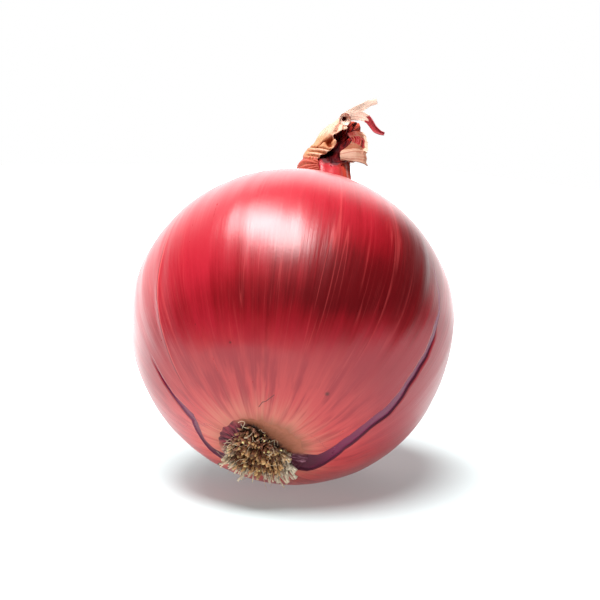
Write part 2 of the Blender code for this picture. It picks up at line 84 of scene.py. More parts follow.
# %% [markdown]
# The camera stands where the photograph was taken from: level with the front, looking down by 14
# degrees from 0.7 m. The long lens keeps the ball round. A small shift of the sensor frames it.

# %% Camera
VIEW_DISTANCE = 0.7
VIEW_ELEVATION = 14 * DEGREE
LENS_MM = 167.7
IMAGE_SIZE = 600
BULB_PIXEL = (292.5, 326.5)

camera_data = bpy.data.cameras.new("camera")
camera_data.sensor_width = 36
camera_data.lens = LENS_MM
camera_data.shift_x = (IMAGE_SIZE / 2 - BULB_PIXEL[0]) / IMAGE_SIZE
camera_data.shift_y = (BULB_PIXEL[1] - IMAGE_SIZE / 2) / IMAGE_SIZE
camera = bpy.data.objects.new("camera", camera_data)
bpy.context.scene.collection.objects.link(camera)
away = Vector((0, -math.cos(VIEW_ELEVATION), math.sin(VIEW_ELEVATION)))
camera.location = Vector(CENTRE) + VIEW_DISTANCE * away
camera.rotation_euler = away.to_track_quat("Z", "Y").to_euler()
bpy.context.scene.camera = camera
bpy.context.scene.view_settings.view_transform = "Standard"
print("Camera at", [round(value, 3) for value in camera.location])

# %% [markdown]
# Shaders are easier to read as sums than as boxes and wires. The first class wraps one socket, and
# Python's own operators on it add the Math nodes. The second holds a node tree and has one method
# that makes any other node: its settings first, then the values or links. A finish is a material.

# %% Shader maths
class Wire:
    """A socket that can be used in a sum."""

    def __init__(self, tree, socket):
        self.tree = tree
        self.socket = socket

    def math(self, operation, *values):
        """One Math node on this socket and up to two other values."""
        sockets = dict(enumerate((self, *values)))
        return Nodes(self.tree).node("Math", {"operation": operation}, sockets)

    def __add__(self, other):
        return self.math("ADD", other)

    def __sub__(self, other):
        return self.math("SUBTRACT", other)

    def __mul__(self, other):
        return self.math("MULTIPLY", other)

    def __rsub__(self, other):
        return (self * -1) + other

    __radd__ = __add__
    __rmul__ = __mul__

    def __abs__(self):
        return self.math("ABSOLUTE")


class Nodes:
    """A node tree, and the ways to add to it."""

    def __init__(self, tree):
        self.tree = tree

    def node(self, kind, settings, sockets, output=0):
        """One node: its settings first, then its sockets' values or links, by name or number."""
        made = self.tree.nodes.new("ShaderNode" + kind)
        for setting, value in settings.items():
            setattr(made, setting, value)
        for socket, value in sockets.items():
            if isinstance(value, Wire):
                self.tree.links.new(value.socket, made.inputs[socket])
            else:
                made.inputs[socket].default_value = value
        return Wire(self.tree, made.outputs[output])

    def attribute(self, name, output="Fac"):
        """A value that the mesh carries at its points."""
        return self.node("Attribute", {"attribute_name": name}, {}, output)

    def place(self):
        """Where a point lies in the model, in metres."""
        return self.node("TexCoord", {}, {}, "Object")

    def part(self, vector, axis):
        """The X, Y or Z of a vector."""
        return self.node("SeparateXYZ", {}, {0: vector}, axis)

    def vectors(self, operation, sockets, output=0):
        """One Vector Math node."""
        return self.node("VectorMath", {"operation": operation}, sockets, output)

    def step(self, value, start, stop):
        """0 below start, 1 above stop, and smooth between them."""
        settings = {"interpolation_type": "SMOOTHSTEP"}
        return self.node("MapRange", settings, {"Value": value, "From Min": start, "From Max": stop})

    def noise(self, vector, stretch, detail=3.0, roughness=0.55):
        """Noise between 0 and 1 of a vector times a number, or times one number for each axis."""
        stretch = stretch if isinstance(stretch, tuple) else (stretch,) * 3
        spread = self.vectors("MULTIPLY", {0: vector, 1: stretch})
        sockets = {"Vector": spread, "Scale": 1.0, "Detail": detail, "Roughness": roughness}
        return self.node("TexNoise", {}, sockets)

    def mix(self, share, low, high):
        """A colour between two, by a share from 0 to 1."""
        settings = {"data_type": "RGBA", "clamp_factor": True}
        return self.node("Mix", settings, {0: share, 6: low, 7: high}, 2)

    def ramp(self, value, start, stop, low, high):
        """A colour that goes from low to high while the value goes from start to stop."""
        return self.mix(self.step(value, start, stop), low, high)

    def bump(self, height, depth):
        """Relief of the given depth in metres, from a height between 0 and 1."""
        return self.node("Bump", {}, {"Strength": 1.0, "Distance": depth, "Height": height})


class Finish(Nodes):
    """A material with a Principled shader."""

    def __init__(self, name):
        self.material = bpy.data.materials.new(name)
        self.material.use_nodes = True
        super().__init__(self.material.node_tree)
        self.shader = self.tree.nodes["Principled BSDF"]

    def plain(self, **values):
        """Sets sockets that are the same all over the surface."""
        for socket, value in values.items():
            self.shader.inputs[socket.replace("_", " ")].default_value = value

    def wire(self, socket, value):
        """Links a value to the shader."""
        self.tree.links.new(value.socket, self.shader.inputs[socket])


# %% [markdown]
# Meshes come from grids of points. A closed tube gets a pole at each end so that no hole is left, and
# a sheet gets its thickness from a Solidify modifier. The values that a shader needs, such as how far
# along the onion a point lies, are stored on the mesh as attributes.

# %% From grids to pieces
def vector(x, y, z):
    """Numbers, or arrays of them, as the three parts of vectors."""
    return np.stack(np.broadcast_arrays(x, y, z), axis=-1)


def polar(radius, turn, height):
    """Points round the axis: the radius times the cosine and the sine of the turn, and a height."""
    return vector(radius * np.cos(turn), radius * np.sin(turn), height)


def half_turn(degrees):
    """The same angle between -180 and 180 degrees."""
    return (degrees + 180) % 360 - 180


def unit(vectors):
    """Vectors scaled to length one."""
    return vectors / np.linalg.norm(vectors, axis=-1, keepdims=True)


def grid_faces(rows, columns, wrap):
    """Each face joins a point to its neighbours in the next column and the next row."""
    across = columns if wrap else columns - 1
    low = np.arange(rows - 1)[:, None] * columns
    here = np.arange(across)[None, :]
    after = (here + 1) % columns
    corners = (low + here, low + after, low + columns + after, low + columns + here)
    return np.stack(corners, axis=-1).reshape(-1, 4)


def tube_faces(rows, columns):
    """The quads along a closed tube, and the triangles to the two end points that follow its rings."""
    column = np.arange(columns)
    after = (column + 1) % columns
    foot = np.full(columns, rows * columns)
    last = (rows - 1) * columns
    near = np.stack((foot, after, column), axis=1)
    far = np.stack((foot + 1, last + column, last + after), axis=1)
    return grid_faces(rows, columns, True), np.vstack((near, far))


def per_point(numbers, rows, columns):
    """Numbers for each point of a grid, also where they are the same along its rows or columns."""
    numbers = np.asarray(numbers, float)
    return np.broadcast_to(numbers, (rows, columns, *numbers.shape[2:])).reshape(rows * columns, -1)


def make_piece(name, points, faces, finishes, values, node):
    """A smooth mesh object at the origin, with its attributes, that stands for one CAD node."""
    mesh = bpy.data.meshes.new(name)
    mesh.from_pydata(in_world(points.reshape(-1, 3)), [], faces)
    for label, numbers in values.items():
        numbers = np.asarray(numbers, dtype=np.float32)
        kind, field = ("FLOAT_VECTOR", "vector") if numbers.ndim > 1 else ("FLOAT", "value")
        mesh.attributes.new(label, kind, "POINT").data.foreach_set(field, numbers.ravel())
    mesh.shade_smooth()
    for finish in finishes:
        mesh.materials.append(finish.material)
    piece = bpy.data.objects.new(name, mesh)
    bpy.context.scene.collection.objects.link(piece)
    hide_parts(node)
    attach(piece, "root")
    print(f"{name}: {len(points.reshape(-1, 3))} points, {len(faces)} faces")
    return piece


def make_tube(name, grid, finishes, values, node):
    """A closed tube: rings of points, each end closed by triangles to its middle."""
    rows, columns = grid.shape[:2]
    middles = (grid[0].mean(axis=0), grid[-1].mean(axis=0))
    points = np.vstack((grid.reshape(-1, 3), middles))
    quads, fans = tube_faces(rows, columns)
    closed = {}
    for label, numbers in values.items():
        flat = per_point(numbers, rows, columns)
        ends = [flat[:columns].mean(axis=0), flat[-columns:].mean(axis=0)]
        closed[label] = np.vstack((flat, ends)).squeeze()
    return make_piece(name, points, quads.tolist() + fans.tolist(), finishes, closed, node)


def make_sheet(name, grid, thickness, finishes, values, node):
    """A thin sheet, thickened evenly to both sides. Its first finish is for the outer face."""
    rows, columns = grid.shape[:2]
    flat = {label: per_point(numbers, rows, columns).squeeze() for label, numbers in values.items()}
    faces = grid_faces(rows, columns, False)[:, ::-1].tolist()
    sheet = make_piece(name, grid, faces, finishes, flat, node)
    wall = sheet.modifiers.new("paper", "SOLIDIFY")
    wall.thickness = thickness
    wall.offset = 0
    wall.material_offset = len(finishes) - 1
    return sheet


def smooth_rows(rows, count):
    """A smooth curve through rows of numbers, read at even steps (Catmull-Rom)."""
    rows = np.array(rows, float)
    ends = np.vstack((2 * rows[0] - rows[1], rows, 2 * rows[-1] - rows[-2]))
    place = np.linspace(0, len(rows) - 1, count)
    low = np.minimum(place.astype(int), len(rows) - 2)
    t = (place - low)[:, None]
    a, b, c, d = ends[low], ends[low + 1], ends[low + 2], ends[low + 3]
    bend = 2 * a - 5 * b + 4 * c - d
    return 0.5 * (2 * b + (c - a) * t + bend * t**2 + (3 * b - a - 3 * c + d) * t**3)


def ease(value, start, stop):
    """0 at start, 1 at stop, and smooth between them."""
    share = np.clip((value - start) / (stop - start), 0, 1)
    return share**2 * (3 - 2 * share)


def ripples(around, along, counts, drift, seed):
    """Soft ridges: a sum of cosines of whole counts round the axis, each drifting along its length."""
    draw = np.random.default_rng(seed)
    total = np.zeros(np.broadcast(around, along).shape)
    for count in counts:
        slope = draw.uniform(-drift, drift)
        total += np.cos(count * around + slope * along + draw.uniform(0, 2 * math.pi))
    return total / math.sqrt(len(counts))


# %% [markdown]
# The photograph has a white floor, soft lights overhead and a white wall behind, while the room in
# front is dark. The dark room shows as the deep band across the skin, the wall and the far floor as
# its pale rim. So the lights are round panels high up: a bright one, a paler one further back to the
# left, and a wide dim one round both. The floor shines a little, more so behind, as a lit table does.

# %% Floor and lights
LIGHT_DISTANCE = 3.0
PANELS = (
    ("wide_panel", (-0.10, -0.02, 0.995), 3.2, 2.8, 0.4),
    ("bright_middle", (-0.10, -0.115, 0.985), 2.35, 1.50, 22.0),
    ("back_left", (-0.38, 0.22, 0.89), 1.4, 1.2, 12.0),
)  # name, direction, width and depth in metres, brightness
FLOOR_CORNERS = (
    (-0.22, -0.45), (0.34, -0.45), (0.34, 0.20), (0.05, 0.42), (-0.15, 0.42), (-0.90, 1.15),
    (-1.20, 0.60), (-0.22, 0.04),
)
FLOOR_TINT = (0.485, 0.55, 0.553, 1)  # a little cool, against the red that the onion throws on it
FLOOR_GLOW = (0.25, 2.2)  # how much it shines near the onion and far behind
GLOW_LEAN = -0.55  # the shine grows faster on the left
GLOW_RISE = (0.04, 0.20)  # metres behind the onion between which it grows

floor_finish = Finish("white_floor")
floor_place = floor_finish.place()
reach = floor_finish.part(floor_place, "Y") + floor_finish.part(floor_place, "X") * GLOW_LEAN
far = floor_finish.step(reach, *GLOW_RISE)
near_share = FLOOR_GLOW[0] / FLOOR_GLOW[1]
glow = floor_finish.mix(far, (near_share, near_share, near_share, 1), (1, 1, 1, 1))
floor_finish.wire("Emission Color", glow)
floor_finish.plain(Base_Color=FLOOR_TINT, Roughness=0.9)
floor_finish.plain(Specular_IOR_Level=0.0, Emission_Strength=FLOOR_GLOW[1])
floor_mesh = bpy.data.meshes.new("floor")
floor_mesh.from_pydata([(x, y, 0) for x, y in FLOOR_CORNERS], [], [range(len(FLOOR_CORNERS))])
floor_mesh.materials.append(floor_finish.material)
floor = bpy.data.objects.new("floor", floor_mesh)
bpy.context.scene.collection.objects.link(floor)

for panel_name, way, width, depth, brightness in PANELS:
    panel = bpy.data.lights.new(panel_name, "AREA")
    panel.shape = "ELLIPSE"
    panel.size = width
    panel.size_y = depth
    panel.energy = brightness * math.pi**2 / 4 * width * depth
    lamp = bpy.data.objects.new(panel_name, panel)
    bpy.context.scene.collection.objects.link(lamp)
    lamp.location = Vector(CENTRE) + LIGHT_DISTANCE * Vector(way)
    lamp.rotation_euler = Vector(way).to_track_quat("Z", "Y").to_euler()
    lamp.visible_camera = False
    print(panel_name, "gives", round(panel.energy), "watts")

# %% [markdown]
# The world holds the wall and the dark room. The wall fills the directions near straight behind,
# further to the left than to the right, and stops at some height. A low strip of it reaches further
# round on both sides. The camera sees plain white.

# %% World
WALL_LIGHT = 2.6
ROOM_LIGHT = 0.015
WALL_LEFT = (-72 * DEGREE, -8 * DEGREE)  # turn from straight behind: where it starts, and is full
WALL_RIGHT = (14 * DEGREE, 38 * DEGREE)
WALL_TOP = (0.50, 0.78)  # height of a direction where the wall fades out
SILL_LEFT = (-80 * DEGREE, -48 * DEGREE)  # a low strip of wall that reaches further round
SILL_RIGHT = (50 * DEGREE, 68 * DEGREE)
SILL_TOP = (0.06, 0.30)
SILL_SHARE = 0.8

world = bpy.data.worlds.new("studio")
world.use_nodes = True
bpy.context.scene.world = world
sky = Nodes(world.node_tree)
background = sky.tree.nodes["Background"]
direction = sky.node("TexCoord", {}, {}, "Generated")
turn = sky.part(direction, "X").math("ARCTAN2", sky.part(direction, "Y"))


def lit_part(left, right, top):
    """1 in the directions between two turns and below a height, with soft borders."""
    between = sky.step(turn, *left) * (1 - sky.step(turn, *right))
    return between * (1 - sky.step(sky.part(direction, "Z"), *top))


sill = lit_part(SILL_LEFT, SILL_RIGHT, SILL_TOP) * SILL_SHARE
wall = lit_part(WALL_LEFT, WALL_RIGHT, WALL_TOP).math("MAXIMUM", sill)
seen = sky.node("LightPath", {}, {}, "Is Camera Ray")
strength = (wall * (WALL_LIGHT - ROOM_LIGHT) + ROOM_LIGHT) * (1 - seen) + seen
sky.tree.links.new(strength.socket, background.inputs["Strength"])
background.inputs["Color"].default_value = (1, 1, 1, 1)
print("The wall is", round(WALL_LIGHT / ROOM_LIGHT), "times as bright as the room in front")

# %% [markdown]
# The bulb is a slightly flattened ball whose skin runs up into the neck. We describe it by two
# angles: theta from the root end to the neck, and longitude round the axis, from the upper side
# towards the right. The outer skin has split along two lines. The grid's columns follow the edges of
# both splits, so each one is a clean groove however coarse the rest of the grid is.

# %% Sizes of the bulb
NECK_RADIUS = 4.4 * MM
NECK_RISE = 14.7 * MM  # how far the skin is lifted where it meets the neck
NECK_FLARE = 3.0 * MM  # the lift falls away over this distance
NECK_TOP = 53.6 * MM
NECK_FOOT = 40.0 * MM
NECK_FRONT = 15 * DEGREE  # longitude of the neck's front
ROOT_RADIUS = 9.0 * MM
ROOT_FLOOR = -35.2 * MM
ROOT_SHIFT = -1.0 * MM
ROOT_SLIDE = (-28 * MM, -35 * MM)  # heights between which the root end slides by that shift
ROOT_DENT = 1.0 * MM
ROOT_DENT_REACH = 3.0 * MM
# Rings that close the two ends: share of the end ring's radius, height
ROOT_RINGS = ((0.45, ROOT_FLOOR), (0.985, ROOT_FLOOR), (0.98, -35.9 * MM), (0.985, -36.4 * MM))
CROWN_RINGS = ((0.94, NECK_TOP - 0.4 * MM), (0.7, NECK_TOP - 0.05 * MM))
SKIN_ROWS = 300
SKIN_COLUMNS = {"front": 178, "right_split": 22, "behind": 106, "left_split": 12}

# Degrees from the root end, longitude of the middle, half width in degrees
RIGHT_SPLIT = np.array(
    (
        (12, 122, 24.0), (20, 118, 17.0), (25, 103, 10.0), (30, 93.4, 6.0), (40, 88.3, 3.7),
        (50, 85.7, 3.2), (60, 81.5, 2.1), (70, 78.3, 1.6), (80, 75.8, 1.2), (88, 74, 0.7),
        (103, 66, 0.5), (114, 47, 0.3),
    )
)
LEFT_SPLIT = np.array(
    (
        (12, -128, 6.5), (19.3, -115, 13.0), (21.4, -102.8, 12.0), (22.6, -90.5, 11.0),
        (24, -79.7, 8.5), (27, -68.5, 4.2), (35.6, -65.6, 1.5), (45.5, -62.8, 0.9),
        (64, -59.2, 0.4),
    )
)
RIGHT_GROOVE = (0.34 * MM, 0.08 * MM)  # its depth, and what the line along its lower side adds
LEFT_GROOVE = (0.26 * MM, 0.05 * MM)
LEFT_SPLIT_FADE = (38, 54)
RIGHT_SPLIT_FADE = (84, 114)
GROOVE_FADE = (66, 84)  # beyond this the right split is only a line of colour
# Degrees from the root end, longitude of the raised line at the left
CREASE = np.array(((35, -50.3), (50, -46.7), (66.6, -44.2), (84, -41.5), (93.3, -41.2), (112, -42)))
print("Columns of the skin:", sum(SKIN_COLUMNS.values()))


def split_at(table, theta):
    """Longitude of a split's middle and its half width, in degrees, read off its table."""
    wobble = 0.35 * np.sin(0.28 * theta) + 0.16 * np.sin(0.8 * theta + 1)
    middle = np.interp(theta, table[:, 0], table[:, 1]) + wobble * np.minimum(table[-1, 0] / 90, 1)
    return middle, np.interp(theta, table[:, 0], table[:, 2])


# %% The grid of the skin
def skin_angles():
    """Theta of each row, from the root's lip to the neck, and the longitudes of its columns."""
    lip = math.asin(ROOT_RADIUS / BULB_RADIUS)
    stub = math.pi - math.asin(NECK_RADIUS / BULB_RADIUS)
    theta = np.linspace(lip, stub, SKIN_ROWS)
    right, right_half = split_at(RIGHT_SPLIT, theta / DEGREE)
    left, left_half = split_at(LEFT_SPLIT, theta / DEGREE)

    def spread(start, stop, count, ends):
        """Even columns from start to stop in each row, with or without the two ends."""
        steps = np.linspace(0, 1, count if ends else count + 2)
        steps = steps if ends else steps[1:-1]
        return start[:, None] + (stop - start)[:, None] * steps[None, :]

    columns = SKIN_COLUMNS
    front = spread(left + left_half, right - right_half, columns["front"], True)
    band = spread(right - right_half, right + right_half, columns["right_split"], False)
    behind = spread(right + right_half, left - left_half + 360, columns["behind"], True)
    sliver = spread(left - left_half + 360, left + left_half + 360, columns["left_split"], False)
    return theta, np.hstack((front, band, behind, sliver)) * DEGREE


def groove(offset, half, fade, depth, crevice):
    """Depth of a split: a flat sunk band with steep sides, and a deeper line along its lower side."""
    inside = ease(half - np.abs(offset), 0, 0.12 * MM)
    lower = np.exp(-(((offset - half * 0.88) / (0.09 * half + 0.05 * MM)) ** 2))
    lip = 0.09 * MM * np.exp(-((np.abs(offset) - half) / (0.7 * MM)).clip(0, 9)) * (1 - inside)
    return fade * (inside * (depth + crevice * lower) - lip)


def skin_surface():
    """The skin's points, and the values that its shader reads.

    Each point is radius times the cosine and sine of its longitude, with a height that is the
    ellipsoid's plus a falling exponential that lifts the neck. Lobes, ribs and grooves are added
    along the ball's own direction.
    """
    rows, longitude = skin_angles()
    theta = rows[:, None] + 0 * longitude
    degrees = theta / DEGREE
    reach = BULB_RADIUS * np.sin(theta)
    lobes = 0.35 * MM * np.cos(2 * longitude + 0.6) + 0.25 * MM * np.cos(3 * longitude - 1.1)
    ribs = 0.05 * MM * np.cos(14 * longitude + 2 * theta)
    fine = 0.035 * MM * ripples(longitude, theta, (23, 31, 37, 44, 58), 3, 4)
    relief = np.sin(theta) ** 2 * (lobes + ribs + fine)

    def offset_from(middle):
        """Distance along the skin to the right of a line of longitudes, in metres."""
        return half_turn(longitude / DEGREE - middle) * DEGREE * reach

    right_middle, right_half = split_at(RIGHT_SPLIT, degrees[:, :1])
    left_middle, left_half = split_at(LEFT_SPLIT, degrees[:, :1])
    right_offset, left_offset = offset_from(right_middle), offset_from(left_middle)
    right_half, left_half = right_half * DEGREE * reach, left_half * DEGREE * reach
    right_fade = 1 - ease(degrees, *RIGHT_SPLIT_FADE)
    left_fade = 1 - ease(degrees, *LEFT_SPLIT_FADE)
    relief -= groove(right_offset, right_half, 1 - ease(degrees, *GROOVE_FADE), *RIGHT_GROOVE)
    relief -= groove(left_offset, left_half, left_fade, *LEFT_GROOVE)

    crease_offset = offset_from(np.interp(degrees, CREASE[:, 0], CREASE[:, 1]))
    crease_fade = ease(degrees, 30, 42) * (1 - ease(degrees, 96, 116))
    relief += 0.10 * MM * crease_fade * np.exp(-((crease_offset / (0.8 * MM)) ** 2))

    near_root = np.exp(-(degrees - 13) / 5.0)
    relief += 0.14 * MM * near_root * ripples(longitude, theta, (11, 17, 23, 29), 6, 11)
    upper = theta > math.pi / 2
    rise = NECK_RISE * np.exp(-(reach - NECK_RADIUS) / NECK_FLARE)
    dent = ROOT_DENT * np.exp(-(reach - ROOT_RADIUS) / ROOT_DENT_REACH)
    height = -(BULB_HALF_LENGTH + relief) * np.cos(theta) + np.where(upper, rise, dent)
    gathers = 0.16 * MM * np.exp(-(reach - NECK_RADIUS) / (4.5 * MM)) * upper
    gathers = gathers * ripples(longitude, height / MM, (6, 9, 13, 19), 0.02, 21)
    points = polar((BULB_RADIUS + relief) * np.sin(theta) + gathers, longitude, height)

    values = {
        "grain": polar(1, longitude + 0.10 * (theta - math.pi / 2), theta),
        "around": polar(1, longitude, degrees),
        "right_split": vector(right_offset / MM, right_half / MM, right_fade),
        "left_split": vector(left_offset / MM, left_half / MM, left_fade),
        "crease": vector(crease_offset / MM, crease_fade, 0),
    }
    return points, values


# %% Neck and root ends of the skin
def neck_points(side, front, along):
    """Points given to the side, to the front and along the neck, in the bulb's frame."""
    side = np.asarray(side, float)
    front = np.asarray(front, float)
    x = front * math.cos(NECK_FRONT) - side * math.sin(NECK_FRONT)
    y = front * math.sin(NECK_FRONT) + side * math.cos(NECK_FRONT)
    return vector(x, y, along)


def front_dip(points):
    """How much lower the neck is torn at the front: the square of the way past 3.8 mm, scaled."""
    front = points[..., 0] * math.cos(NECK_FRONT) + points[..., 1] * math.sin(NECK_FRONT)
    return 0.48 / MM * np.maximum(front - 3.8 * MM, 0) ** 2


def sag_root(points):
    """The root end slides a little down from the axis."""
    points = np.array(points, float)
    points[..., 0] += ROOT_SHIFT * ease(points[..., 2], *ROOT_SLIDE)
    return points


def lean_and_dip(points, dip_weight):
    """The neck leans to the front as it rises and is torn lower there; the root end sags a little."""
    above = np.maximum(points[..., 2] - NECK_FOOT, 0)
    points = points + neck_points(-0.06 * above, 0.20 * above, 0.0)
    points[..., 2] -= dip_weight * front_dip(points)
    return sag_root(points)


def uneven(points):
    """The bulb is a little wider above than below, more so at the right."""
    world = in_world(points)
    across, rise = world[..., 0] - CENTRE[0], world[..., 2] - CENTRE[2]
    upper = ease(rise, -20 * MM, 12 * MM)
    right = ease(across, -5 * MM, 5 * MM)
    world[..., 0] += across * (upper * (0.018 + 0.012 * right) - (1 - upper) * 0.018 * right)
    return (world - CENTRE) @ AXES.T


def widen_left(points):
    """The foot of the neck reaches further to the left, by a share that grows with height."""
    side = points[..., 1] * math.cos(NECK_FRONT) - points[..., 0] * math.sin(NECK_FRONT)
    share = 0.66 * ease(points[..., 2], 42 * MM, 51 * MM)
    return points + neck_points(np.minimum(side, 0) * share, 0.0, 0.0)


def rest_on_floor(points):
    """Points below the floor are lifted to it, which leaves the small flat spot that carries it."""
    sunk = np.minimum(in_world(points)[..., 2:], 0)
    return points - sunk * AXES[:, 2]


def inner_rings(edge, shares):
    """Rings inside an edge ring: its points drawn in to a share of their radius, at a height."""
    level = np.ones_like(edge[..., 2])
    return [np.dstack((share * edge[..., :2], height * level)) for share, height in shares]


skin, skin_values = skin_surface()
root_rings = inner_rings(skin[:1], ROOT_RINGS)
crown_rings = inner_rings(skin[-1:], CROWN_RINGS)
skin = np.vstack((*root_rings, skin, *crown_rings))
for label, numbers in skin_values.items():
    before = [numbers[:1]] * len(root_rings)
    skin_values[label] = np.vstack((*before, numbers, *[numbers[-1:]] * len(crown_rings)))
# The finish paints the crown inside the neck dark: painted shade in the hollow.
skin_values["around"][-2:, :, 2] = 180  # the crown inside the neck, which the finish makes dark
dip = np.clip(1 - (NECK_TOP - skin[..., 2]) / (6 * MM), 0, 1)
skin = rest_on_floor(uneven(lean_and_dip(widen_left(skin), dip)))
print("Skin grid:", skin.shape[:2], "lowest point in mm:", round(in_world(skin)[..., 2].min() / MM, 2))

# %% [markdown]
# Now the look of the skin. A red onion's skin is dry, thin and shiny, deep maroon where the scales
# beneath are dark and bright red elsewhere, and it pales to pink and salmon by the roots. Fine veins
# run from root to neck. All of this follows the skin, so the noise reads the longitude and theta
# that the mesh carries. Where a noise with long cells passes one half it leaves thin long lines,
# which are the pale veins. The small marks are distances to points and short lines on the skin.

# %% Tones of the skin
DEEP_MAROON = (0.115, 0.002, 0.004, 1)
DARK_RED = (0.24, 0.004, 0.009, 1)
BRIGHT_RED = (0.41, 0.011, 0.024, 1)
PALE_VEIN = (0.68, 0.085, 0.085, 1)
ROOT_PINK = (0.70, 0.06, 0.06, 1)
ROOT_SALMON = (0.72, 0.20, 0.14, 1)
ROOT_BROWN = (0.33, 0.105, 0.050, 1)
NECK_PINK = (0.38, 0.014, 0.022, 1)
NECK_BROWN = (0.36, 0.036, 0.016, 1)
SCALE_PURPLE = (0.22, 0.014, 0.070, 1)
SCALE_DARK_AND_CREVICE_SHADE = (0.055, 0.001, 0.014, 1)
MARK_BROWN = (0.10, 0.008, 0.008, 1)
CROWN_SHADE = (0.08, 0.003, 0.006, 1)
BAND_MIDDLE = ((45, 60, 70, 90, 115), (5, 18, 38, 58, 72))  # theta, longitude of the dark band
BAND_WIDTH = ((50, 62, 90), (60, 52, 32))  # theta, its width to the left in degrees


def skin_tone(around):
    """How bright the skin is: 1 is bright red, 0 is maroon.

    One minus a dark band that runs slantwise up the right side, a bell across the longitudes whose
    middle and width change with theta, and minus softer dark sectors behind.
    """
    longitude = np.degrees(np.arctan2(around[..., 1], around[..., 0]))
    theta = around[..., 2]
    middle = np.interp(theta, *BAND_MIDDLE)
    width = np.where(longitude < middle, np.interp(theta, *BAND_WIDTH), 26)
    bell = np.exp(-(((longitude - middle) / width) ** 2))
    front = bell * ease(theta, 41, 66) * (1 - 0.6 * ease(theta, 116, 150))
    front = front * (1 - 0.85 * ease(longitude, 58, 86))
    behind = 0.4 * (1 + np.cos(3 * longitude * DEGREE + 1.0)) * ease(np.abs(longitude - 15), 95, 130)
    behind = behind * ease(theta, 34, 60) * (1 - 0.5 * ease(theta, 100, 140))
    return 1 - np.maximum(front, behind)


skin_values["tone"] = skin_tone(skin_values["around"])
print("Mean tone of the skin:", round(float(skin_values["tone"].mean()), 2))


# %% Small marks
def on_skin(theta, longitude):
    """The skin's point nearest to these two angles, in degrees, in the world."""
    around = skin_values["around"]
    turn = half_turn(np.degrees(np.arctan2(around[..., 1], around[..., 0])) - longitude)
    miss = (turn * np.sin(theta * DEGREE)) ** 2 + (around[..., 2] - theta) ** 2
    row, column = np.unravel_index(np.argmin(miss), miss.shape)
    return in_world(skin[row, column])


MARKS = (
    (43.9, -9.3, 0.42 * MM),
    (35.5, 49.1, 0.75 * MM),
    (72.4, 80.5, 0.45 * MM),
    (62.6, 20.8, 0.22 * MM),
    (83.3, 5.8, 0.25 * MM),
    (52.0, -26.0, 0.20 * MM),
    (98.0, 150.0, 0.45 * MM),
    (66.0, -150.0, 0.35 * MM),
)  # theta, longitude, radius
CRACK = ((21.4, 5.7), (23.6, 9.0), (24.2, 11.5), (27.2, 16.8))
CRACK_WIDTH = 0.16 * MM
print("Specks:", len(MARKS), "and a crack in", len(CRACK) - 1, "short lines")


def line_distance(finish, place, start, end):
    """Distance from a place to a short line: what is left of the way to it beyond its own length."""
    run = end - start
    way = finish.vectors("SUBTRACT", {0: place, 1: tuple(start)})
    along = finish.vectors("DOT_PRODUCT", {0: way, 1: tuple(run)}, "Value")
    share = (along * (1 / float(run @ run))).math("MINIMUM", 1).math("MAXIMUM", 0)
    near = finish.vectors("SCALE", {0: tuple(run), "Scale": share})
    rest = finish.vectors("SUBTRACT", {0: way, 1: near})
    return finish.vectors("LENGTH", {0: rest}, "Value")


def small_marks(finish, place):
    """1 on the specks and on the crack, 0 elsewhere."""
    marks = []
    for theta, longitude, radius in MARKS:
        spot = tuple(on_skin(theta, longitude))
        away = finish.vectors("DISTANCE", {0: place, 1: spot}, "Value")
        marks.append(1 - finish.step(away, 0.1 * radius, 1.15 * radius))
    points = [on_skin(*angles) for angles in CRACK]
    for start, end in zip(points, points[1:]):
        away = line_distance(finish, place, start, end)
        marks.append(1 - finish.step(away, 0.3 * CRACK_WIDTH, CRACK_WIDTH))
    wanted = marks[0]
    for mark in marks[1:]:
        wanted = wanted.math("MAXIMUM", mark)
    return wanted


# %% Finish of the skin
def split_masks(finish, name):
    """The inside of a split and a line of painted shade along its lower side, from the offset on the mesh.
    """
    values = finish.attribute(name, "Vector")
    offset = finish.part(values, "X")
    half = finish.part(values, "Y")
    strength = finish.part(values, "Z")
    outside = abs(offset) - half
    inside = (1 - finish.step(outside, -0.10, 0.04)) * strength
    # Painted shade: the crevice along the split's lower side is darkened in colour.
    lower = finish.step(offset - half * 0.84, -0.08, 0.08) * (1 - finish.step(outside, 0.0, 0.12))
    return inside, lower * strength


def veins(finish, grain, stretch, width, where):
    """Thin long lines where a noise passes one half, kept only where a second noise is high."""
    line = 1 - finish.step(abs(finish.noise(grain, stretch, 1.0) - 0.5), 0.0, width)
    cells, start, stop = where
    return line * finish.step(finish.noise(grain, cells, 2.0), start, stop)


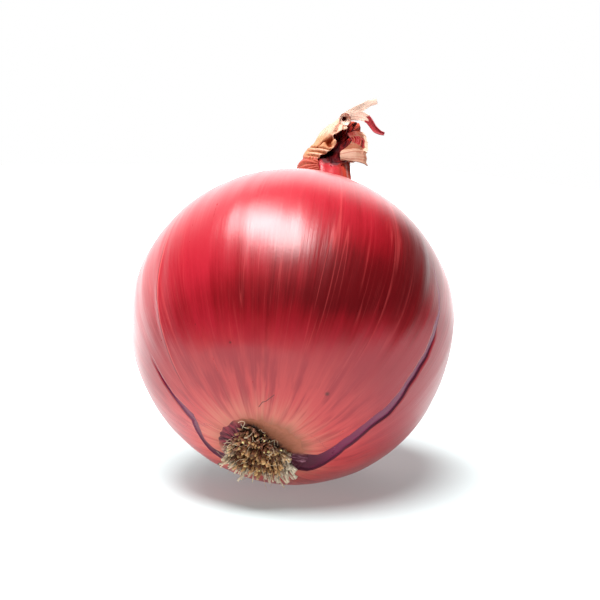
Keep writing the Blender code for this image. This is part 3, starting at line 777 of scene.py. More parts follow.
def skin_finish():
    """Streaked red, with the two splits and painted shade along their lower sides, the crease, the root's
    halo, the neck with painted shade at its top and on its crown, and the marks.
    """
    finish = Finish("onion_skin")
    grain = finish.attribute("grain", "Vector")
    around = finish.attribute("around", "Vector")
    upward, rightward, theta = (finish.part(around, axis) for axis in "XYZ")
    place = finish.place()
    broad = finish.noise(grain, (6.5, 6.5, 0.8), 2.0)
    streak = finish.noise(grain, (24, 24, 1.3))
    thread = finish.noise(grain, (85, 85, 2.6), 2.0)
    cloud = finish.noise(place, 55)
    tone = finish.attribute("tone") + (broad - 0.5) * 0.7 + (streak - 0.5) * 0.5
    tone = tone + (thread - 0.5) * 0.4 + (cloud - 0.5) * 0.4
    red = finish.ramp(tone, -0.05, 0.55, DEEP_MAROON, DARK_RED)
    red = finish.ramp(tone, 0.35, 1.05, red, BRIGHT_RED)
    broad_veins = veins(finish, grain, (13, 13, 0.32), 0.022, ((6, 6, 1.6), 0.40, 0.62))
    red = finish.mix(broad_veins * 0.26, red, PALE_VEIN)
    fine_veins = veins(finish, grain, (30, 30, 0.4), 0.02, ((9, 9, 2.0), 0.42, 0.66))
    red = finish.mix(fine_veins * 0.24, red, PALE_VEIN)

    flames = (streak - 0.5) * 16 + (thread - 0.5) * 7 + (broad - 0.5) * 10
    reach = theta + flames
    patchy = finish.step(finish.noise(grain, (11, 11, 3.0)) + (cloud - 0.5) * 0.5, 0.34, 0.60)
    pinked = finish.mix((1 - finish.step(reach, 24, 56)) * (patchy * 0.75 + 0.22), red, ROOT_PINK)
    salmon = finish.mix((1 - finish.step(reach, 13, 30)) * (patchy * 0.4 + 0.6), pinked, ROOT_SALMON)
    brown_share = finish.step(upward * 0.6 + rightward * 0.8, 0.1, 0.9) * 0.65 + 0.25
    brown_share = brown_share * (1 - finish.step(theta + flames * 0.3, 13.0, 20.0))
    brown = finish.mix(brown_share, salmon, ROOT_BROWN)
    neck_red = finish.ramp(rightward + (thread - 0.5) * 0.4, 0.35, 0.9, NECK_PINK, NECK_BROWN)
    # Painted shade: the top of the neck stub is darkened towards its rim.
    neck_red = finish.mix(finish.step(theta, 172.8, 173.7) * 0.5, neck_red, DEEP_MAROON)
    necked = finish.ramp(reach, 160, 170, brown, neck_red)
    # Painted shade: the crown inside the neck is coloured nearly black.
    crown_shade = finish.step(theta, 175, 178)
    necked = finish.mix(crown_shade, necked, CROWN_SHADE)

    crease = finish.attribute("crease", "Vector")
    offset = finish.part(crease, "X")
    strength = finish.part(crease, "Y")
    bright = (1 - finish.step(abs(offset - 0.22), 0.05, 0.30)) * strength
    dark = (1 - finish.step(abs(offset + 0.22), 0.05, 0.24)) * strength
    creased = finish.mix(bright * 0.75, necked, PALE_VEIN)
    creased = finish.mix(dark * 0.55, creased, DEEP_MAROON)

    right_in, right_crevice_shade = split_masks(finish, "right_split")
    left_in, left_crevice_shade = split_masks(finish, "left_split")
    inside = right_in.math("MAXIMUM", left_in)
    lower = right_crevice_shade.math("MAXIMUM", left_crevice_shade * 0.9)
    root_shade = 1 - finish.step(theta, 17, 30)
    purple = finish.mix(root_shade * 0.8 + (streak - 0.5) * 0.5, SCALE_PURPLE, SCALE_DARK_AND_CREVICE_SHADE)
    split = finish.mix(inside, creased, purple)
    # Painted shade along the lower side of each split.
    split = finish.mix(lower * 0.6, split, SCALE_DARK_AND_CREVICE_SHADE)
    finish.wire("Base Color", finish.mix(small_marks(finish, place) * 0.9, split, MARK_BROWN))

    pores = finish.noise(place, 900, 3.0, 0.6)
    dry = 1 - finish.step(theta, 14, 30)
    rough = 0.30 + (pores - 0.5) * 0.06 + (streak - 0.5) * 0.06 + (thread - 0.5) * 0.05 + dry * 0.25
    finish.wire("Roughness", rough * (1 - inside * 0.2) + lower * 0.5 + crown_shade * 0.5)
    height = finish.noise(grain, (52, 52, 3.0)) * 0.45 + pores * 0.10 + thread * 0.15
    finish.wire("Normal", finish.bump(height, 0.09 * MM))
    finish.plain(IOR=1.5, Specular_IOR_Level=0.5)
    return finish


onion_skin = skin_finish()
make_tube("skin", skin, [onion_skin], skin_values, "bulb")

# %% [markdown]
# The roots were cut short and have dried on a corky plate. Hundreds of stubs grow from it, upright in
# the middle and splayed at the rim, where they are paler and longer. All of them are worked out at
# once: arrays hold a foot, a direction, a length and a width for each, and every stub is a ring
# carried along a bent line. Between the stubs one sees dark brown cork.

# %% Sizes of the roots
PLATE_RADIUS = 8.6 * MM
PLATE_DOME = 2.6 * MM
PLATE_EDGE = -37.3 * MM
PLATE_BACK = ROOT_FLOOR - 0.3 * MM
STUB_COUNT = 400
STUB_SIDES = 7
STUB_RINGS = 6
FIBRE_COUNT = 60
GOLDEN_TURN = math.pi * (3 - math.sqrt(5))  # the turn from one stub to the next
CORK_DARK = (0.020, 0.008, 0.004, 1)
CORK_BROWN = (0.16, 0.075, 0.028, 1)
ROOT_OUTLINE = np.array(
    (
        (-180, 1.10), (-150, 1.22), (-122, 1.28), (-95, 1.00), (-65, 0.74), (-44, 0.74),
        (-28, 0.96), (-14, 1.04), (-2, 0.94), (8, 0.76), (22, 0.58), (40, 0.50), (68, 0.48),
        (95, 0.60), (120, 0.84), (140, 1.08), (158, 1.12), (180, 1.10),
    )
)  # degrees from the upper side, share of the plate's radius


def outline(turn):
    """How far the roots reach in each direction: they rise to a peak and are bitten off at the right."""
    return np.interp(half_turn(turn / DEGREE), ROOT_OUTLINE[:, 0], ROOT_OUTLINE[:, 1])


def plate_height(share):
    """Height of the domed plate at a share of its radius."""
    return PLATE_EDGE - (1 - share**2) * PLATE_DOME


# %% Corky plate
def cork_finish():
    """Dark brown, dull and crumbly."""
    finish = Finish("root_cork")
    crumb = finish.noise(finish.place(), 1400, 4.0, 0.7)
    finish.wire("Base Color", finish.ramp(crumb, 0.35, 0.75, CORK_DARK, CORK_BROWN))
    finish.wire("Normal", finish.bump(crumb, 0.5 * MM))
    finish.plain(Roughness=0.9, Specular_IOR_Level=0.2)
    return finish


def cork_plate():
    """A domed disc with a crumbly face: rings that rise from its back edge to the middle of the dome."""
    turn = np.linspace(0, 2 * math.pi, 120, endpoint=False)[None, :]
    share = np.concatenate(([0.55, 0.99], np.linspace(1, 0.04, 46)))[:, None]
    height = np.concatenate(([PLATE_BACK, PLATE_BACK], plate_height(share[2:, 0])))[:, None]
    crumbs = 0.22 * MM * ripples(turn, share * 40, (3, 7, 13, 22, 31), 2.5, 3)
    height = height - crumbs * (height < PLATE_EDGE)
    radius = PLATE_RADIUS * share * np.where(height > PLATE_EDGE + 0.5 * MM, 1, outline(turn))
    return sag_root(polar(radius, turn, height))


root_cork = cork_finish()
make_tube("cork_plate", cork_plate(), [root_cork], {}, "root_tuft")


# %% One array for all stubs
GUIDE = (0.31, 0.95, 0.0)  # a direction that few stubs share, to set their rings by


def carried_rings(middles, radii, sides, wobble):
    """Rings of points round many lines at once.

    At each station of each line the ring lies across the line's own direction, and its radius
    varies a little round the ring by the wobble.
    """
    run = unit(np.gradient(middles, axis=1))
    side = unit(np.cross(run, np.array(GUIDE)))
    across = np.cross(run, side)
    turn = np.linspace(0, 2 * math.pi, sides, endpoint=False)
    reach = radii[..., None] * (1 + wobble[:, None, :])
    ring = side[:, :, None, :] * np.cos(turn)[:, None] + across[:, :, None, :] * np.sin(turn)[:, None]
    return middles[:, :, None, :] + reach[..., None] * ring


def make_bundle(name, middles, radii, sides, wobble, sink, values, finish):
    """Many closed tubes in one mesh. Each end point is set in from the last ring by the sink."""
    count, rings = radii.shape
    each = rings * sides + 2
    tubes = carried_rings(middles, radii, sides, wobble).reshape(count, -1, 3)
    ends = np.stack((middles[:, 0], middles[:, -1] - sink), axis=1)
    points = np.concatenate((tubes, ends), axis=1)
    along = np.concatenate((np.repeat(np.linspace(0, 1, rings), sides), (0.0, 1.3)))
    stored = {"along": np.tile(along, count)}
    for label, numbers in values.items():
        stored[label] = np.repeat(numbers, each)
    quads, fans = tube_faces(rings, sides)
    first = np.arange(count)[:, None, None] * each
    faces = (first + quads).reshape(-1, 4).tolist() + (first + fans).reshape(-1, 3).tolist()
    return make_piece(name, points, faces, [finish], stored, "root_tuft")


def stub_lines():
    """Where the stubs run.

    Feet lie on a sunflower spiral over the dome. Each stub leans out by an angle that grows with
    a power of its distance from the middle, and bends on outwards towards its cut end.
    """
    draw = np.random.default_rng(7)
    index = np.arange(STUB_COUNT)
    share = np.sqrt((index + 0.5) / STUB_COUNT)
    turn = index * GOLDEN_TURN + draw.uniform(-0.12, 0.12, STUB_COUNT)
    foot = polar(0.98 * share * PLATE_RADIUS * outline(turn), turn, plate_height(share))
    lower = ease(-np.cos(turn), -0.35, 0.6)
    splay = (66 * share**2.4 * (0.4 + 0.6 * lower) + draw.normal(0, 12, STUB_COUNT)) * DEGREE
    lean = polar(np.sin(splay), turn + draw.normal(0, 0.45, STUB_COUNT), -np.cos(splay))
    length = draw.uniform(0.9, 2.6, STUB_COUNT) * MM
    length += ease(share, 0.72, 1.0) * (0.1 + 1.2 * lower) * draw.uniform(0.2, 1.1, STUB_COUNT) * MM
    t = np.linspace(0, 1, STUB_RINGS)[None, :, None]
    out = polar(1, turn, 0)[:, None, :]
    curl = draw.normal(0, 0.16, (STUB_COUNT, 1, 3))
    size = length[:, None, None]
    buried = 0.6 * MM
    line = foot[:, None, :] + ((size + buried) * t - buried) * lean[:, None, :]
    line = line + size * t**2 * (0.30 * share[:, None, None] * out + curl)
    width = draw.uniform(0.38, 0.95, STUB_COUNT) * MM
    narrowing = 1 - np.linspace(0, 1, STUB_RINGS)[None, :] * draw.uniform(-0.1, 0.55, (STUB_COUNT, 1))
    radii = 0.5 * width[:, None] * narrowing
    values = {
        "tint": draw.uniform(0, 1, STUB_COUNT),
        "rim": ease(share, 0.62, 0.95) * (0.25 + 0.75 * lower),
        "rosy": ease(np.cos(turn), 0.2, 0.9) * ease(share, 0.3, 0.8),
    }
    return sag_root(line), radii, draw.normal(0, 0.14, (STUB_COUNT, STUB_SIDES)), lean, values


STUB_FOOT = (0.030, 0.010, 0.004, 1)
STUB_BROWN = (0.17, 0.050, 0.018, 1)
STUB_BUFF = (0.80, 0.43, 0.19, 1)
STUB_PALE = (1.0, 0.84, 0.64, 1)
STUB_ROSY = (0.46, 0.16, 0.095, 1)
CUT_DARK = (0.10, 0.035, 0.012, 1)
CUT_TAN = (0.72, 0.42, 0.17, 1)
CUT_YELLOW = (1.0, 0.84, 0.36, 1)


def stub_finish():
    """Dry root: dark at the foot, brown to buff along it, with a yellowish cut end that is often dark."""
    finish = Finish("cut_roots")
    along = finish.attribute("along")
    tint = finish.attribute("tint")
    grit = finish.noise(finish.place(), 1100, 3.0, 0.6)
    buff = finish.ramp(tint + (grit - 0.5) * 0.6, 0.15, 0.85, STUB_BROWN, STUB_BUFF)
    buff = finish.mix(finish.attribute("rim") * 0.9, buff, STUB_PALE)
    buff = finish.mix(finish.attribute("rosy") * 0.75, buff, STUB_ROSY)
    deep = finish.ramp(along + (grit - 0.5) * 0.3, 0.2, 0.85, STUB_FOOT, buff)
    end = finish.ramp(tint, 0.30, 0.80, CUT_DARK, CUT_TAN)
    end = finish.ramp(tint, 0.88, 0.93, end, CUT_YELLOW)
    finish.wire("Base Color", finish.ramp(along, 0.98, 1.06, deep, end))
    finish.wire("Normal", finish.bump(grit, 0.25 * MM))
    finish.plain(Roughness=0.75, Specular_IOR_Level=0.35)
    return finish


cut_roots = stub_finish()
lines, radii, wobble, lean, stub_values = stub_lines()
sink = 0.12 * MM * lean
make_bundle("cut_roots", lines, radii, STUB_SIDES, wobble, sink, stub_values, cut_roots)

# %% [markdown]
# Thin dry fibres curl among the stubs, and a few hang out over the edge. Each one is a slim tube
# along a line that swings from side to side as it goes.

# %% Fibres
FIBRE_RINGS = 12
FIBRE_SIDES = 4
STRAW_DARK = (0.42, 0.24, 0.11, 1)
STRAW_PALE = (0.88, 0.70, 0.50, 1)


def fibre_lines():
    """A straight run from the dome plus two slow waves across it, both growing from the foot."""
    draw = np.random.default_rng(19)
    share = np.sqrt(draw.uniform(0.02, 1.0, FIBRE_COUNT))
    turn = draw.uniform(0, 2 * math.pi, FIBRE_COUNT)
    foot = polar(share * PLATE_RADIUS * outline(turn), turn, plate_height(share))
    splay = (25 + 50 * share) * DEGREE
    lean = polar(np.sin(splay), turn + draw.normal(0, 0.8, FIBRE_COUNT), -np.cos(splay))
    size = draw.uniform(2.0, 5.2, FIBRE_COUNT)[:, None, None] * MM
    t = np.linspace(0, 1, FIBRE_RINGS)[None, :, None]
    sway = unit(np.cross(lean, draw.normal(0, 1, (FIBRE_COUNT, 3))))[:, None, :]
    lift = unit(np.cross(lean, sway[:, 0]))[:, None, :]
    phase = draw.uniform(0, 2 * math.pi, (FIBRE_COUNT, 1, 1))
    line = foot[:, None, :] + size * t * lean[:, None, :]
    line = line + 0.30 * size * t * np.sin(4.5 * t + phase) * sway
    line = line + 0.22 * size * t**2 * np.cos(3.2 * t + 2 * phase) * lift
    radii = draw.uniform(0.06, 0.13, (FIBRE_COUNT, 1)) * MM * (1 - 0.5 * np.linspace(0, 1, FIBRE_RINGS))
    values = {"tint": draw.uniform(0.5, 1, FIBRE_COUNT)}
    return sag_root(line), radii, np.zeros((FIBRE_COUNT, FIBRE_SIDES)), 0 * lean, values


def fibre_finish():
    """Pale straw, dull."""
    finish = Finish("root_fibres")
    finish.wire("Base Color", finish.mix(finish.attribute("tint"), STRAW_DARK, STRAW_PALE))
    finish.plain(Roughness=0.7, Specular_IOR_Level=0.3)
    return finish


root_fibres = fibre_finish()
lines, radii, wobble, sink, fibre_values = fibre_lines()
make_bundle("root_fibres", lines, radii, FIBRE_SIDES, wobble, sink, fibre_values, root_fibres)

# %% [markdown]
# Where the skin meets the roots its torn edge dries into a ragged dark collar, and painted shade
# makes it nearly black next to the roots. It is a narrow sheet that starts on the skin and leans
# in over the roots, with an edge that is cut by ripples.

# %% Collar round the roots
COLLAR_COLUMNS = 420
COLLAR_ROWS = 40
COLLAR_START = 11.4 * MM  # the radius where it leaves the skin
COLLAR_SALMON = (0.46, 0.135, 0.078, 1)
COLLAR_BROWN = (0.27, 0.080, 0.034, 1)
COLLAR_ROOT_SHADE = (0.035, 0.010, 0.006, 1)
MAROON_STREAKS = ((0.055, 0.003, 0.014, 1), (0.34, 0.030, 0.050, 1))
BUFF_STREAKS = ((0.20, 0.030, 0.045, 1), (0.70, 0.42, 0.32, 1))
PURPLE_STREAKS = ((0.075, 0.002, 0.018, 1), (0.40, 0.16, 0.22, 1))


def root_collar():
    """A ring of sheet whose radius shrinks while it rises from the skin, by a ragged reach."""
    turn = np.linspace(-math.pi, math.pi, COLLAR_COLUMNS)[None, :]
    t = np.linspace(0, 1, COLLAR_ROWS)[:, None]
    coarse, fine = ripples(turn, 0, (9, 16, 27), 0, 31), ripples(turn, 0, (41, 63, 88), 0, 33)
    ragged = 0.55 + 0.16 * coarse + 0.22 * fine
    left = np.exp(-(((turn / DEGREE + 58) / 38) ** 2))
    lower = ease(-np.cos(turn), -0.1, 0.5)
    inner = PLATE_RADIUS * outline(turn) + 0.1 * MM
    tall = (0.25 + 1.5 * left) * np.clip(ragged, 0.08, 1.5) * MM
    crimp = (0.10 + 0.30 * left + 0.18 * lower) * MM * ripples(turn, t, (19, 31, 47), 1.5, 35) * t
    radius = COLLAR_START + (inner - COLLAR_START) * t**0.8 + crimp
    skin_level = -BULB_HALF_LENGTH * np.sqrt(1 - (radius / BULB_RADIUS) ** 2)
    sunk = ROOT_DENT * np.exp(-np.maximum(radius - ROOT_RADIUS, 0) / ROOT_DENT_REACH)
    level = skin_level + 0.88 * sunk + 0.35 * MM * (1 - ease(t, 0, 0.2)) - tall * t**2
    right = ease(np.sin(turn), 0.1, 0.6)
    values = {"depth": t, "left": left, "lower": lower, "right": right}
    values["streaks"] = vector(turn * 9, t * 1.5, 0)
    return sag_root(polar(radius, turn, level)), values


def collar_finish():
    """Salmon that dries to brown, with painted shade that makes it nearly black at the roots.

    It is streaked with maroon at the left, with buff below, and with purple at the lower right.
    """
    finish = Finish("dry_collar")
    grit = finish.noise(finish.place(), 700, 3.0, 0.6)
    streak = finish.noise(finish.attribute("streaks", "Vector"), 1)
    depth = finish.attribute("depth") + (streak - 0.5) * 0.5 + (grit - 0.5) * 0.2
    tint = finish.ramp(depth, 0.05, 0.70, COLLAR_SALMON, COLLAR_BROWN)
    # Painted shade: the collar goes nearly black where it meets the roots.
    tint = finish.ramp(depth, 0.62, 0.98, tint, COLLAR_ROOT_SHADE)
    maroon = finish.ramp(streak, 0.35, 0.65, *MAROON_STREAKS)
    tint = finish.ramp(finish.attribute("left") + (depth - 0.5) * 0.3, 0.25, 0.65, tint, maroon)
    buff = finish.ramp(streak, 0.3, 0.7, *BUFF_STREAKS)
    purple = finish.ramp(streak, 0.48, 0.72, *PURPLE_STREAKS)
    below = finish.mix(finish.attribute("right"), buff, purple)
    finish.wire("Base Color", finish.ramp(finish.attribute("lower"), 0.15, 0.7, tint, below))
    finish.wire("Normal", finish.bump(grit, 0.3 * MM))
    finish.plain(Roughness=0.65, Specular_IOR_Level=0.4)
    return finish


collar, collar_values = root_collar()
dry_collar = collar_finish()
make_sheet("root_collar", collar, 0.15 * MM, [dry_collar], collar_values, "root_tuft")

# %% [markdown]
# The neck is a bundle of dead leaves. In the middle are the shrivelled inner ones, dark maroon and
# leathery, bent over to the right. We carry a ring along their path and fold it with sharp ridges,
# made from the absolute value of a cosine, which gives narrow valleys between round backs.

# %% Shrivelled leaves
# side, front, height along the neck axis and radius, in mm
LEAF_PATHS = {
    "inner_leaf": (
        (-0.6, 2.1, 53.9, 3.5), (-0.6, 2.1, 55.8, 3.2), (-0.4, 2.0, 58.2, 2.9),
        (-0.1, 1.9, 60.6, 2.7), (0.4, 1.9, 62.8, 2.4), (1.3, 1.8, 65.0, 2.3), (2.3, 1.8, 66.9, 2.1),
        (2.8, 1.8, 68.7, 1.0),
    ),
    "tucked_leaf": (
        (-2.0, 0.6, 54.5, 2.6), (-2.0, 1.2, 57.5, 2.5), (-1.3, 3.0, 60.5, 2.4),
        (-0.4, 4.0, 63.0, 2.0), (0.4, 3.9, 65.2, 1.5), (1.4, 3.1, 67.0, 0.7),
    ),
    "front_fold": (
        (1.4, 3.2, 53.6, 1.5), (1.6, 3.9, 55.5, 1.7), (2.0, 4.1, 57.5, 1.6), (2.5, 3.8, 59.6, 1.5),
        (3.2, 3.2, 61.4, 1.1), (3.9, 3.0, 62.6, 0.5),
    ),
    "low_fold": (
        (-3.9, 2.8, 53.2, 0.8), (-2.9, 4.5, 53.0, 1.1), (-1.2, 5.6, 52.9, 1.3),
        (0.6, 5.6, 52.9, 1.2), (2.1, 4.7, 53.0, 1.0), (3.1, 3.4, 53.2, 0.6),
    ),
}
LEAF_RINGS = 150
LEAF_SIDES = 150
LEAF_RISE = (54.0, 14.5)  # height in mm where the leaves start to redden, and over how much they do
LEAF_VALLEY_SHADE = (0.020, 0.002, 0.004, 1)
LEAF_MAROON = (0.050, 0.0015, 0.003, 1)
LEAF_RED = (0.42, 0.018, 0.014, 1)
LEAF_TIP = (0.50, 0.085, 0.050, 1)


def leaf_surface(path, seed):
    """A folded tube: the ring's radius is cut by ridges that wander along it, and creased across."""
    rows = smooth_rows(path, LEAF_RINGS) * MM
    line = neck_points(*rows.T[:3])
    turn = np.linspace(0, 2 * math.pi, LEAF_SIDES, endpoint=False)[None, :]
    along = np.linspace(0, 1, LEAF_RINGS)[:, None]
    wander = 0.5 * np.sin(5 * along + seed)
    folds = np.abs(np.cos(2.5 * turn + wander * 3 + seed)) * 0.5
    folds = folds + np.abs(np.cos(4 * turn - 2 * wander)) * 0.35
    crumple = ripples(turn, along * 14, (2, 5, 9, 14), 1.2, seed)
    pinch = np.cos(2 * math.pi * (5.5 * along + 0.10 * np.cos(turn - seed)))
    share = 0.74 + 0.42 * folds + 0.07 * crumple + 0.035 * pinch
    rounding = np.sqrt(np.clip(1 - ((along - 0.97) / 0.03).clip(0, 1) ** 2, 0.02, 1))
    radius = rows[:, 3:] * share * rounding
    tilt = np.gradient(line, axis=0)
    side = unit(np.cross(tilt, np.array((0.0, 1.0, 0.1))))
    across = unit(np.cross(tilt, side))
    ring = side[:, None, :] * np.cos(turn)[..., None] + across[:, None, :] * np.sin(turn)[..., None]
    points = line[:, None, :] + radius[..., None] * ring
    dip = np.clip(1 - (points[..., 2] - NECK_TOP - 0.3 * MM) / (6 * MM), 0, 1)
    points[..., 2] -= dip * front_dip(points)
    rise = np.clip((rows[:, 2:3] / MM - LEAF_RISE[0]) / LEAF_RISE[1], 0, 1)
    return points, {"valley_shade": 1 - ease(folds, 0.25, 0.7), "rise": rise}


def leaf_finish():
    """Leathery maroon, with painted shade that makes it nearly black in the valleys, and redder on the
    backs and higher up.
    """
    finish = Finish("shrivelled_leaf")
    place = finish.place()
    grit = finish.noise(place, 420, 4.0, 0.6)
    fine = finish.noise(place, 1500, 2.0, 0.6)
    rise = finish.attribute("rise")
    back = finish.ramp(rise * 0.55 + grit * 0.9 - 0.25, 0.15, 0.85, LEAF_MAROON, LEAF_RED)
    back = finish.ramp(rise, 0.72, 0.95, back, LEAF_TIP)
    # Painted shade: the valleys between the folds are coloured nearly black.
    finish.wire("Base Color", finish.mix(finish.attribute("valley_shade") * 0.9, back, LEAF_VALLEY_SHADE))
    finish.wire("Normal", finish.bump(grit * 0.6 + fine * 0.4, 0.4 * MM))
    finish.plain(Roughness=0.6, Specular_IOR_Level=0.06)
    return finish


shrivelled_leaf = leaf_finish()
for seed, (leaf_name, path) in enumerate(LEAF_PATHS.items(), start=2):
    leaf, leaf_values = leaf_surface(path, seed)
    make_tube(leaf_name, leaf, [shrivelled_leaf], leaf_values, "neck_core")

# %% [markdown]
# Round them the outer skins have dried to paper. The main wrap goes round the left and the back. It
# is an arc round a leaning axis, and each row of the table below gives its height, middle, radius
# and the angles where the paper starts and stops. Pleats are cosines of a warped height: they fan
# out at the foot and hang in a U under the pocket. Their valleys and backs are stored for the shader,
# which darkens the valleys as painted shade and lightens the backs as painted highlight.

# %% Wrap round the neck
# height, middle to the side and to the front, radius, start and stop in degrees from the front
WRAP_ROWS = (
    (38.1, -0.2, 0.3, 12.4, -30, -236),
    (39.5, -0.3, 0.5, 11.3, -22, -238),
    (41.4, -0.4, 0.6, 10.2, -19, -240),
    (44.4, -0.7, 0.7, 9.5, -17, -240),
    (47.2, -1.0, 0.8, 8.7, -22, -240),
    (50.0, -1.4, 1.0, 7.8, -26, -238),
    (52.2, -1.5, 1.2, 7.3, -10, -236),
    (55.0, -1.6, 1.5, 6.8, 7, -236),
    (57.0, -1.6, 1.9, 6.4, 0, -236),
    (58.6, -1.8, 2.4, 5.6, 0, -232),
    (60.3, -1.8, 3.1, 4.6, 18, -225),
    (62.5, -1.5, 4.0, 3.2, 42, -215),
    (64.5, -1.0, 4.6, 1.9, 48, -210),
    (66.4, -0.7, 4.7, 1.2, 40, -210),
)
WRAP_RINGS = 260
WRAP_COLUMNS = 300
# The pocket is a hollow in the wrap; its dark colour is painted shade.
POCKET = (-10, 55.7)  # degrees from the front and height of the dark pocket
CORNER = (-29, 54.6)  # the same for the creased corner beside it
FAN_POINT = (-14, 46.4)  # where the pleats of the foot run together


def wrap_surface():
    """Each point is the row's middle plus its radius in the direction of its turn.

    The radius is drawn in near the front edge, in the pocket and in the corner, and moved out and
    in by pleats.
    """
    rows = smooth_rows(WRAP_ROWS, WRAP_RINGS)
    height, side, front, radius, start, stop = (rows[:, place : place + 1] for place in range(6))
    start = start + 1.6 * ripples(0.0, height, (1, 2, 3, 4), 3.5, 51)
    turn = start + (stop - start) * np.linspace(0, 1, WRAP_COLUMNS)[None, :]
    angle = turn * DEGREE
    tuck = 1.2 * np.exp((turn - start) / 25) * (1 - ease(height, 54, 58))

    sag = height - 0.0011 * (turn + 20) ** 2
    cuff_zone = ease(sag, 48.6, 49.8) * (1 - ease(sag, 53.2, 54.2)) * ease(turn, -76, -36)
    cuff = np.cos(2 * math.pi * sag / 1.45 + 0.9 * np.sin(turn / 17)) * cuff_zone
    fan_turn, fan_height = FAN_POINT
    spoke = np.arctan2(height - fan_height, 0.13 * np.maximum(fan_turn - turn, 0) + 0.9)
    foot_zone = (1 - ease(sag, 48.0, 49.6)) * ease(turn, -150, -80)
    foot = np.cos(17 * spoke + 0.6 * ripples(angle, height, (3, 5, 8), 1.5, 57)) * foot_zone
    back = ripples(angle, height * 0.3, (17, 24, 33), 2.0, 59) * ease(-turn, 70, 110)
    long_folds = ripples(angle, height * 0.35, (7, 11, 16), 1.6, 61) * ease(height, 57, 60)
    wrinkles = ripples(angle, height, (31, 47, 66), 2.5, 53)

    pocket_turn = (turn - POCKET[0] + 2.5 * np.sin(2.4 * height)) / 8.5
    pocket = np.exp(-((pocket_turn**2 + ((height - POCKET[1]) / 1.6) ** 2) ** 1.6))
    beside = height - CORNER[1] - 0.19 * (turn - CORNER[0])
    corner = np.exp(-((beside / 0.55) ** 2) - ((turn - CORNER[0]) / 8) ** 2)
    waist_zone = ease(height, 54.0, 56.6) * (1 - ease(height, 61.5, 65.5))
    waist = 0.34 * np.exp(-(((turn + 105) / 48) ** 2)) * waist_zone
    relief = 0.26 * cuff + 0.30 * foot + 0.16 * back + 0.085 * radius * long_folds + 0.035 * wrinkles
    reach = radius * (1 - waist) - tuck + relief - 2.0 * pocket - 0.8 * corner
    level = height + 0.15 * ripples(angle, 0, (3, 7, 12, 19), 0, 63) * ease(height, 65.2, 66.4)
    points = neck_points(side + reach * np.sin(angle), front + reach * np.cos(angle), level) * MM

    # Painted shade in the pleats' valleys, the back folds and the pocket's edge; painted highlight on the
    # pleats' backs.
    crease = ease(-cuff, -0.2, 0.8) + ease(-foot, 0.0, 0.9) + 0.6 * ease(-back, 0.3, 1.2)
    crease = crease + 0.6 * ease(-long_folds, 0.3, 1.3) + 0.5 * ease(pocket, 0.05, 0.3)
    ridge_highlight = 0.8 * ease(cuff, 0.4, 1.0) + 0.4 * ease(foot, 0.5, 1.0)
    edge = np.exp((turn - start) / 2.5)
    values = {
        "crease": np.clip(crease, 0, 1),
        "rosy": 1 - ease(sag + 0.7 * wrinkles, 48.0, 52.2),
        # dark: painted shade in the pocket and the creased corner.
        "dark": np.clip(1.1 * pocket + 0.9 * corner, 0, 1),
        "pale": np.clip(ease(height, 56.0, 60) + 0.5 * edge + ridge_highlight, 0, 1),
        "fibre": vector(angle * 6, height * 0.10, 0),
    }
    return points, values


def paper_finish(name, tan, pale, rosy, crease, dark, depth=0.3 * MM):
    """Dry paper: fibres along the leaf, paler and rosier where the mesh says so, with painted shade in the
    creases and darker where the mesh says so.
    """
    finish = Finish(name)
    place = finish.place()
    fibre = finish.noise(finish.attribute("fibre", "Vector"), 3.2, 4.0, 0.6)
    grit = finish.noise(place, 800, 3.0, 0.6)
    blot = finish.noise(place, 260, 2.0, 0.5)
    tint = finish.mix(finish.attribute("pale"), tan, pale)
    rose_share = finish.attribute("rosy") + (blot - 0.5) * 0.9 + (fibre - 0.5) * 0.5
    tint = finish.ramp(rose_share, 0.25, 0.9, tint, rosy)
    line = finish.step(fibre, 0.52, 0.70) * 0.35 + finish.step(grit, 0.55, 0.8) * 0.2
    tint = finish.mix(line, tint, crease)
    # Painted shade: the crease colour darkens the folds that the mesh marks.
    fold_shade = finish.step(finish.attribute("crease") + (grit - 0.5) * 0.5, 0.2, 1.0)
    tint = finish.mix(fold_shade * 0.8, tint, crease)
    tint = finish.ramp(finish.attribute("dark") + (blot - 0.5) * 0.3, 0.1, 0.7, tint, dark)
    finish.wire("Base Color", tint)
    finish.wire("Normal", finish.bump(fibre * 0.6 + grit * 0.4, depth))
    finish.plain(Roughness=0.55, Specular_IOR_Level=0.2)
    return finish


def add_paper(name, surface, finishes):
    """One sheet of the neck's papery skin, from its points and values."""
    points, values = surface
    make_sheet(name, points, PAPER_WALL, finishes, values, "neck_skin")


PAPER_TAN = (0.54, 0.24, 0.115, 1)
PAPER_CREAM = (0.74, 0.43, 0.31, 1)
PAPER_ROSE = (0.38, 0.058, 0.034, 1)
FIBRE_BROWN_AND_CREASE_SHADE = (0.26, 0.055, 0.020, 1)
POCKET_SHADE = (0.30, 0.050, 0.010, 1)
INSIDE_MAROON = (0.20, 0.012, 0.018, 1)
INSIDE_BROWN = (0.34, 0.050, 0.022, 1)
PAPER_WALL = 0.22 * MM

wrap_papers = [
    paper_finish("papery_skin", PAPER_TAN, PAPER_CREAM, PAPER_ROSE, FIBRE_BROWN_AND_CREASE_SHADE, POCKET_SHADE),
    paper_finish("paper_inside", INSIDE_MAROON, INSIDE_BROWN, INSIDE_BROWN, INSIDE_MAROON, INSIDE_MAROON),
]
add_paper("neck_wrap", wrap_surface(), wrap_papers)

# %% [markdown]
# Two torn strips stick out from the curled end of the wrap. Each is a ribbon along a path, bowed a
# little across, with wavy torn edges. The lower one hangs over and ends in a dark red tip.

